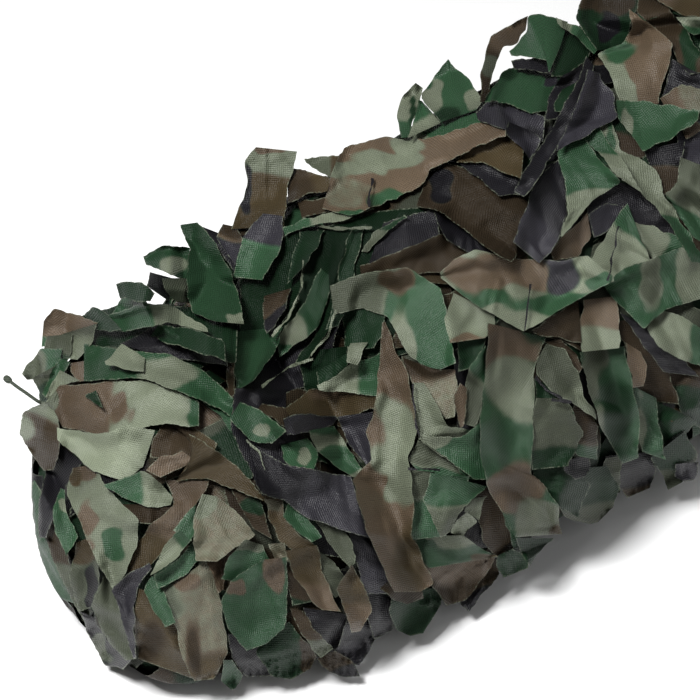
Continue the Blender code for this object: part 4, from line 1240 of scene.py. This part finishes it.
def lay_hero(form, sight, cloth, rng, hero):
    """A lobe of the photograph, over what lies there already as seen from the camera."""
    left, right = rows_between(hero.left, hero.right)
    width = np.hypot(*(right - left).T)
    middle = (left + right) / 2
    run = np.concatenate([[0.0], np.cumsum(np.hypot(*np.diff(middle, axis=0).T))])
    length = run[-1]
    columns = max(5, int(width.max() / HERO_STEP_ACROSS) + 1)
    side = np.linspace(-1.0, 1.0, columns)
    sway, jag = (Waves(rng, wavelength, 3) for wavelength, _ in (HERO_SWAY, HERO_JAG))
    ahead = np.gradient(middle, axis=0)
    ahead /= np.linalg.norm(ahead, axis=1)[:, None] + 1e-9
    across = np.stack([-ahead[:, 1], ahead[:, 0]], axis=-1)
    ragged = [HERO_JAG[1] * jag.at(run, start) + HERO_SWAY[1] * sway.at(run, start)
              for start in (0.0, RIGHT_EDGE)]
    left = left + across * ragged[0][:, None]
    right = right + across * ragged[1][:, None]
    share = (side + 1) / 2
    u = left[:, :1] * (1 - share) + right[:, :1] * share
    v = left[:, 1:] * (1 - share) + right[:, 1:] * share
    s = np.broadcast_to((run / length)[:, None], u.shape)
    half = np.broadcast_to(width[:, None] / 2, u.shape)
    off = half * side
    x = s * length * PIXEL
    y = off * PIXEL
    thread = width.max() < THREAD_WIDTH
    relief = relief_of(rng, s, x, y, 0.0, rng.uniform(-HERO_CUP, HERO_CUP), 0.0 if thread else 1.0)
    own = HERO_SEAT + relief + creases_at(u, v)
    bare = sight.between(sight.bare, u, v)
    least = bare - sight.front_at(u, v) + CLEARANCE * (3.0 if thread else 1.0)
    lift = smoothly_over(own, least, blurs=4)
    lift = lift + standing(rng, s, y, hero.lift * LIFT_STEP, EDGE_STANDS)
    depth = no_steeper(np.minimum(bare - lift, sight.floor_at(u, v)), u, v)
    points = place_in_view(u, v, depth)
    sight.note(points)
    fields = np.broadcast_to(np.array(DYES[hero.dye], float), u.shape + (5,)).copy()
    if hero.other:
        start = hero.at * length + OTHER_SWAY[1] * Waves(rng, OTHER_SWAY[0], 3).at(off, 0.0)
        fields = dyed(fields, hero.other, 0.5 + (run[:, None] - start) / OTHER_EDGE)
    for name, spot_u, spot_v, wide, high in hero.spots:
        far = np.hypot((u - spot_u) / wide, (v - spot_v) / high)
        far = far + SPOT_SWAY * Waves(rng, 2.0 * math.sqrt(wide * high), 5).at(u, v)
        fields = dyed(fields, name, 0.5 + (SPOT_GROWTH - far) / SPOT_EDGE)
    # painted shade at the root of each lobe
    shade = ROOT_PAINTED_SHADE + (1 - ROOT_PAINTED_SHADE) * np.clip(s / ROOT_SHADE, 0, 1)
    tone = fields[..., 4] * rng.uniform(*HERO_TONES) * shade
    flat = flat_places(rng, x, y)
    rims = rim_distance(x, half * PIXEL, y, length * PIXEL) + (NO_RIM if thread else 0.0)
    cloth.add(points, fields[..., :4], tone, rims, flat)


# ---------------------------------------------------------------- materials

class Nodes:
    """A short way to write shader nodes."""

    def __init__(self, name):
        self.material = bpy.data.materials.new(name)
        self.material.use_nodes = True
        self.tree = self.material.node_tree
        self.shader = self.tree.nodes["Principled BSDF"]

    def add(self, kind, **values):
        node = self.tree.nodes.new(kind)
        for name, value in values.items():
            setattr(node, name, value)
        return node

    def link(self, source, target):
        self.tree.links.new(source, target)

    def feed(self, socket, value):
        if hasattr(value, "is_output"):
            self.link(value, socket)
        elif isinstance(value, (tuple, list)):
            short = len(value) == 3 and len(socket.default_value) == 4
            socket.default_value = (*value, 1.0) if short else value
        else:
            socket.default_value = value

    def math(self, operation, first, second):
        node = self.add("ShaderNodeMath", operation=operation)
        self.feed(node.inputs[0], first)
        self.feed(node.inputs[1], second)
        return node.outputs[0]

    def mix(self, share, first, second, blend="MIX"):
        """Two colours mixed: inputs 6 and 7 and output 2 are the mix node's colours."""
        node = self.add("ShaderNodeMix", data_type="RGBA", blend_type=blend)
        self.feed(node.inputs[0], share)
        self.feed(node.inputs[6], first)
        self.feed(node.inputs[7], second)
        return node.outputs[2]

    def scaled(self, value, times, plus):
        return self.math("ADD", self.math("MULTIPLY", value, times), plus)

    def noise(self, place, scale, detail=2.0, rough=0.5):
        node = self.add("ShaderNodeTexNoise")
        self.link(place, node.inputs["Vector"])
        node.inputs["Scale"].default_value = scale
        node.inputs["Detail"].default_value = detail
        node.inputs["Roughness"].default_value = rough
        return node.outputs["Fac"]

    def bands(self, place, direction, pitch):
        """Soft bands this far apart."""
        node = self.add("ShaderNodeTexWave", wave_type="BANDS", bands_direction=direction)
        self.link(place, node.inputs["Vector"])
        node.inputs["Scale"].default_value = 2 * math.pi / (20.0 * pitch)
        return node.outputs["Fac"]

    def step(self, value, low, high):
        node = self.add("ShaderNodeMapRange", interpolation_type="SMOOTHSTEP")
        self.feed(node.inputs["Value"], value)
        node.inputs["From Min"].default_value = low
        node.inputs["From Max"].default_value = high
        return node.outputs["Result"]

    def bump(self, height, strength, distance, before=None):
        node = self.add("ShaderNodeBump")
        self.feed(node.inputs["Height"], height)
        node.inputs["Strength"].default_value = strength
        node.inputs["Distance"].default_value = distance
        if before is not None:
            self.link(before, node.inputs["Normal"])
        return node.outputs["Normal"]


THREAD_PITCH = 0.0015          # metres
GREEN = (0.017, 0.050, 0.022)
SAGE = (0.113, 0.129, 0.089)
BROWN = (0.084, 0.060, 0.038)
OCHRE = (0.066, 0.048, 0.023)
BLACK = (0.009, 0.0085, 0.011)
CUT_EDGE = (0.160, 0.180, 0.130)
CUT_EDGE_SHARE = 0.55
CUT_EDGE_ENDS = (0.0002, 0.0011)     # metres inside the edge
PATCH_ENDS = (0.34, 0.42, 0.50)      # of the fields of brown, sage and black
PATCH_SOFTNESS = 0.30
PATCH_RAGGED = 0.45
CLOUDS, CLOUD_GROUND = 0.5, 0.75     # how much the clouds lighten the cloth, and what is left without
THREADS, GRAIN, THREAD_GROUND = 0.22, 0.9, 0.33      # the same for the threads and their grain
ROUGHNESS, CLOUD_ROUGHNESS = 0.37, 0.16
SHINE = 0.42
# How fine each noise is, as its scale over the flat cloth.
RAGGED_SCALE = 150.0
CLOUD_SCALE = 28.0
GRAIN_SCALE = 850.0
FRAY_SCALE = 420.0
CRUMPLE_SCALE = 75.0
FRAY_ENDS = (0.38, 0.62)             # where on its noise the cut edge frays
# How strong each bump is, and how high in metres.
CRUMPLE_BUMP = (0.35, 0.0016)
WEAVE_BUMP = (0.9, 0.0007)
STRAND_BUMP = (0.6, 0.0004)
THREAD_RELIEF = 0.3                  # how high the threads stand, as a share of the grain
STRING_DARK = (0.012, 0.018, 0.011)
STRING_LIGHT = (0.050, 0.062, 0.040)
STRAND_SCALE = 260.0
FLOOR_COLOUR = (0.90, 0.90, 0.90, 1.0)


def cloth_material():
    """Printed satin polyester: four dyes over green, threads both ways, and lighter cut edges."""
    n = Nodes("printed_cloth")
    dye = n.add("ShaderNodeAttribute", attribute_name="dye")
    split = n.add("ShaderNodeSeparateColor")
    n.link(dye.outputs["Color"], split.inputs[0])
    ochre = dye.outputs["Alpha"]
    place = n.add("ShaderNodeAttribute", attribute_name="flat_place").outputs["Vector"]
    rim = n.add("ShaderNodeAttribute", attribute_name="rim").outputs["Fac"]
    tone = n.add("ShaderNodeAttribute", attribute_name="tone").outputs["Fac"]
    ragged = n.math("SUBTRACT", n.noise(place, RAGGED_SCALE, 3.0), 0.5)
    ragged = n.math("MULTIPLY", ragged, PATCH_RAGGED)
    cloudy = n.noise(place, CLOUD_SCALE, 3.0)
    warp, weft = (n.bands(place, direction, THREAD_PITCH) for direction in ("X", "Y"))
    threads = n.math("ADD", warp, weft)
    grain = n.noise(place, GRAIN_SCALE, 2.0, 0.7)

    # the dyes, one over the other
    colour = GREEN
    dyes = (n.mix(ochre, BROWN, OCHRE), SAGE, BLACK)
    for field, end, over in zip(split.outputs, PATCH_ENDS, dyes):
        share = n.step(n.math("ADD", field, ragged), end - PATCH_SOFTNESS, end + PATCH_SOFTNESS)
        colour = n.mix(share, colour, over)

    # lighter and darker clouds, the tone (a brightness at random for each lobe, with the painted shade and
    # painted highlights that the dyes, roots and low layers carry), and the threads
    light = n.math("MULTIPLY", n.scaled(cloudy, CLOUDS, CLOUD_GROUND), tone)
    woven = n.math("ADD", n.math("MULTIPLY", threads, THREADS), n.math("MULTIPLY", grain, GRAIN))
    light = n.math("MULTIPLY", light, n.math("ADD", woven, THREAD_GROUND))
    brighter = n.add("ShaderNodeCombineColor")
    for socket in brighter.inputs:
        n.link(light, socket)
    colour = n.mix(1.0, colour, brighter.outputs[0], "MULTIPLY")
    near_edge = n.math("SUBTRACT", 1.0, n.step(rim, *CUT_EDGE_ENDS))
    fray = n.math("MULTIPLY", near_edge, n.step(n.noise(place, FRAY_SCALE), *FRAY_ENDS))
    colour = n.mix(n.math("MULTIPLY", fray, CUT_EDGE_SHARE), colour, CUT_EDGE)
    n.link(colour, n.shader.inputs["Base Color"])
    n.link(n.scaled(cloudy, CLOUD_ROUGHNESS, ROUGHNESS), n.shader.inputs["Roughness"])
    # the shine is cut with the tone, so the painted shade of the darker dyes, roots and low layers also
    # dims their reflections
    shine = n.math("MULTIPLY", n.math("MINIMUM", tone, 1.0), SHINE)
    n.link(shine, n.shader.inputs["Specular IOR Level"])
    crumple = n.bump(n.noise(place, CRUMPLE_SCALE, 3.0, 0.55), *CRUMPLE_BUMP)
    weave = n.math("ADD", n.math("MULTIPLY", threads, THREAD_RELIEF), grain)
    n.link(n.bump(weave, *WEAVE_BUMP, crumple), n.shader.inputs["Normal"])
    return n.material


def string_material():
    """Matt string with its twisted strands."""
    n = Nodes("green_string")
    place = n.add("ShaderNodeTexCoord").outputs["Object"]
    strands = n.add("ShaderNodeTexWave", wave_type="BANDS", bands_direction="DIAGONAL")
    n.link(place, strands.inputs["Vector"])
    strands.inputs["Scale"].default_value = STRAND_SCALE
    strands.inputs["Distortion"].default_value = 2.0
    colour = n.mix(strands.outputs["Fac"], STRING_DARK, STRING_LIGHT)
    n.link(colour, n.shader.inputs["Base Color"])
    n.shader.inputs["Roughness"].default_value = 0.8
    n.link(n.bump(strands.outputs["Fac"], *STRAND_BUMP), n.shader.inputs["Normal"])
    return n.material


def floor_material():
    """Plain matt white."""
    n = Nodes("pale_floor")
    n.shader.inputs["Base Color"].default_value = FLOOR_COLOUR
    n.shader.inputs["Roughness"].default_value = 0.9
    n.shader.inputs["Specular IOR Level"].default_value = 0.1
    return n.material


# ---------------------------------------------------------------- making it

WOUND_SEED = 3
WOUND_RINGS = 150
WOUND_TURNS = (-178.0, 196.0)  # degrees round the form, from one edge to the other
WOUND_POINTS = 120
WOUND_WIDTH = 0.95             # metres of print across it
WOUND_DEPTH = 0.0062           # under the form, with waves of these lengths and heights
WOUND_COARSE = (0.060, 0.0030)
WOUND_FINE = (0.022, 0.0012)
WOUND_LEAST = 0.0028
WOUND_MOST = 0.4               # of the way to the middle
OVERLAP_DEPTH = 0.0020         # how much deeper it lies where it overlaps itself
# painted shade: the wound cloth is darker, as it lies under the lobes
WOUND_PAINTED_SHADE = 0.7
END_GAP = 0.002                # between its end rings and the form's ends
END_CLOSED = 0.02              # how wide its ends are left, as a share of the ring beside
NO_RIM = 0.01                  # metres from a cut edge, where none is wanted


def inner_sheet(pattern, material):
    """The wound cloth under the lobes, which overlaps itself under the belly."""
    cloth = Cloth("wound_cloth")
    rng = random.Random(WOUND_SEED)
    coarse, fine = (Waves(rng, wavelength) for wavelength, _ in (WOUND_COARSE, WOUND_FINE))
    first, last = SECTIONS[0].along + END_GAP, SECTIONS[-1].along - END_GAP
    alongs = np.concatenate([[first], np.linspace(first, last, WOUND_RINGS), [last]])
    turns = np.linspace(*WOUND_TURNS, WOUND_POINTS)
    arcs = np.linspace(0.0, WOUND_WIDTH, WOUND_POINTS)
    rings = []
    for along in alongs:
        ring = ring_of(along, turns)
        section = section_at(along)
        hub = np.array([along, section.middle, section.foot + BELLY * (section.crown - section.foot)])
        inward = hub + np.array(MIDDLE) - ring
        size = np.linalg.norm(inward, axis=1)
        depth = WOUND_DEPTH + WOUND_COARSE[1] * coarse.at(along, arcs)
        depth = depth + WOUND_FINE[1] * fine.at(along, arcs)
        depth = depth + OVERLAP_DEPTH * (turns > 180.0)
        depth = np.clip(depth, np.minimum(WOUND_LEAST, WOUND_MOST * size), WOUND_MOST * size)
        rings.append(ring + inward / size[:, None] * depth[:, None])
    for end, beside in ((0, 1), (-1, -2)):
        hub = rings[beside].mean(axis=0)
        rings[end] = hub + (rings[beside] - hub) * END_CLOSED
    points = np.array(rings)
    points[..., 2] = np.maximum(points[..., 2], LEAST_HEIGHT)
    x, y = np.meshgrid(alongs, arcs, indexing="ij")
    cloth.add(points, pattern.at(x, y), WOUND_PAINTED_SHADE, np.full(x.shape, NO_RIM), np.stack([x, y], axis=-1))
    made = cloth.build(material)
    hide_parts("net_cloth")


# The lobes of a layer lie in rings along the bundle, each from one side over the crown to the other,
# with a seeded scatter. Length, width and lift are each between two numbers.
Rings = namedtuple("Rings", "first last step count widest scatter_turn scatter_along length width lift cup")
LOW_RINGS = Rings(-0.430, 0.446, 0.034, 13, 112.0, 9.0, 0.016, (0.060, 0.095), (0.036, 0.058),
                  (0.002, 0.002), 0.002)
TOP_RINGS = Rings(-0.440, 0.456, 0.050, 9, 108.0, 12.0, 0.022, (0.070, 0.110), (0.044, 0.068),
                  (0.004, 0.012), 0.004)
LOW_BEND, TOP_BEND = 50.0, 60.0      # degrees along a lobe, at most
# The low lobes are darkened as painted shade, for the gaps under the top lobes; those of the back get less
# of it.
LOW_PAINTED_SHADE_TONES, TOP_TONES = (0.16, 0.36), (0.55, 1.15)
LOW_BACK_TONE = 1.6            # how much lighter the low lobes of the back are
LOW_MARGIN, TOP_MARGIN = 20, 10      # pixels round the frame that count as in it
SURROUND_SEED = 8


def between(rng, low, high):
    """A number between these two, or the one that both are."""
    return low if low == high else rng.uniform(low, high)


def scattered_lobe(rng, rings, along, number):
    """One of the lobes of a ring."""
    turn = -rings.widest + number * 2 * rings.widest / (rings.count - 1)
    turn += rng.uniform(-rings.scatter_turn, rings.scatter_turn)
    place = along + rng.uniform(-rings.scatter_along, rings.scatter_along)
    heading = scattered_heading(rng, turn)
    sizes = [between(rng, *ends) for ends in (rings.length, rings.width, rings.lift)]
    cup = rng.uniform(-rings.cup, rings.cup)
    return Lobe(place, turn, heading, *sizes, cup, rng.choice(sorted(OUTLINES)))


def surround(form, sight, pattern, front, back):
    """Two layers of lobes all round the bundle, low ones first."""
    rng = random.Random(SURROUND_SEED)
    for along in np.arange(LOW_RINGS.first, LOW_RINGS.last, LOW_RINGS.step):
        for number in range(LOW_RINGS.count):
            lobe = scattered_lobe(rng, LOW_RINGS, along, number)
            bend = rng.uniform(-LOW_BEND, LOW_BEND)
            tone = rng.uniform(*LOW_PAINTED_SHADE_TONES)
            if in_photo(form, lobe.along, lobe.turn, LOW_MARGIN):
                lay_lobe(form, sight, front, rng, pattern, lobe, LOW_FRONT, bend, tone)
            elif number % 2:
                lay_lobe(form, sight, back, rng, pattern, lobe, LOW_BACK, bend, LOW_BACK_TONE * tone)
    upper = fill_lobes() + LOBES
    for along in np.arange(TOP_RINGS.first, TOP_RINGS.last, TOP_RINGS.step):
        upper += [scattered_lobe(rng, TOP_RINGS, along, number) for number in range(TOP_RINGS.count)]
    for lobe in upper:
        bend = rng.uniform(-TOP_BEND, TOP_BEND)
        tone = rng.uniform(*TOP_TONES)
        if not in_photo(form, lobe.along, lobe.turn, TOP_MARGIN):
            lay_lobe(form, sight, back, rng, pattern, lobe, TOP_BACK, bend, tone)


FLOOR_SIZE = 12.0              # metres to each side
FLOOR_DROP = 0.0005            # how far the floor is kept under the cloth


def add_stage():
    """The pale floor."""
    floor_mesh = bpy.data.meshes.new("floor")
    bm = bmesh.new()
    bmesh.ops.create_grid(bm, x_segments=1, y_segments=1, size=FLOOR_SIZE)
    bm.to_mesh(floor_mesh)
    bm.free()
    floor = bpy.data.objects.new("floor", floor_mesh)
    floor.location.z = -FLOOR_DROP
    floor_mesh.materials.append(floor_material())
    bpy.context.scene.collection.objects.link(floor)


Lamp = namedtuple("Lamp", "name place size power")
LAMPS = (
    Lamp("key", (-1.3, -0.2, 2.0), 0.55, 76.0),
    Lamp("overhead", (0.2, 0.1, 2.4), 2.2, 20.0),
    Lamp("fill", (-0.4, -1.9, 1.3), 1.8, 9.0),
)
LAMPS_LOOK_AT = Vector((-0.15, 0.0, 0.1))
WORLD_STRENGTH = 0.04


def add_lights():
    for lamp in LAMPS:
        data = bpy.data.lights.new(lamp.name, "AREA")
        data.shape = "SQUARE"
        data.size = lamp.size
        data.energy = lamp.power
        light = bpy.data.objects.new(lamp.name, data)
        light.location = lamp.place
        aim = LAMPS_LOOK_AT - light.location
        light.rotation_euler = aim.to_track_quat("-Z", "Y").to_euler()
        bpy.context.scene.collection.objects.link(light)
    world = bpy.data.worlds.new("studio")
    world.use_nodes = True
    backdrop = world.node_tree.nodes["Background"]
    backdrop.inputs["Color"].default_value = (1.0, 1.0, 1.0, 1.0)
    backdrop.inputs["Strength"].default_value = WORLD_STRENGTH
    bpy.context.scene.world = world
    bpy.context.scene.view_settings.view_transform = "Standard"


PRINT_SEED = 21

add_camera()
add_string(string_material())
form = Form()
sight = Sight(form)
pattern = Print(random.Random(PRINT_SEED))
printed = cloth_material()
inner_sheet(pattern, printed)
front_low = Cloth("lobes_under_front")
back = Cloth("lobes_round_back")
surround(form, sight, pattern, front_low, back)
front = Cloth("lobes_front")
for hero in HEROES:
    first_u, first_v = hero.left[0]
    lay_hero(form, sight, front, random.Random(PIXELS * first_u + first_v), hero)
for cloth in (front_low, back, front):
    made = cloth.build(printed)
add_stage()
add_lights()
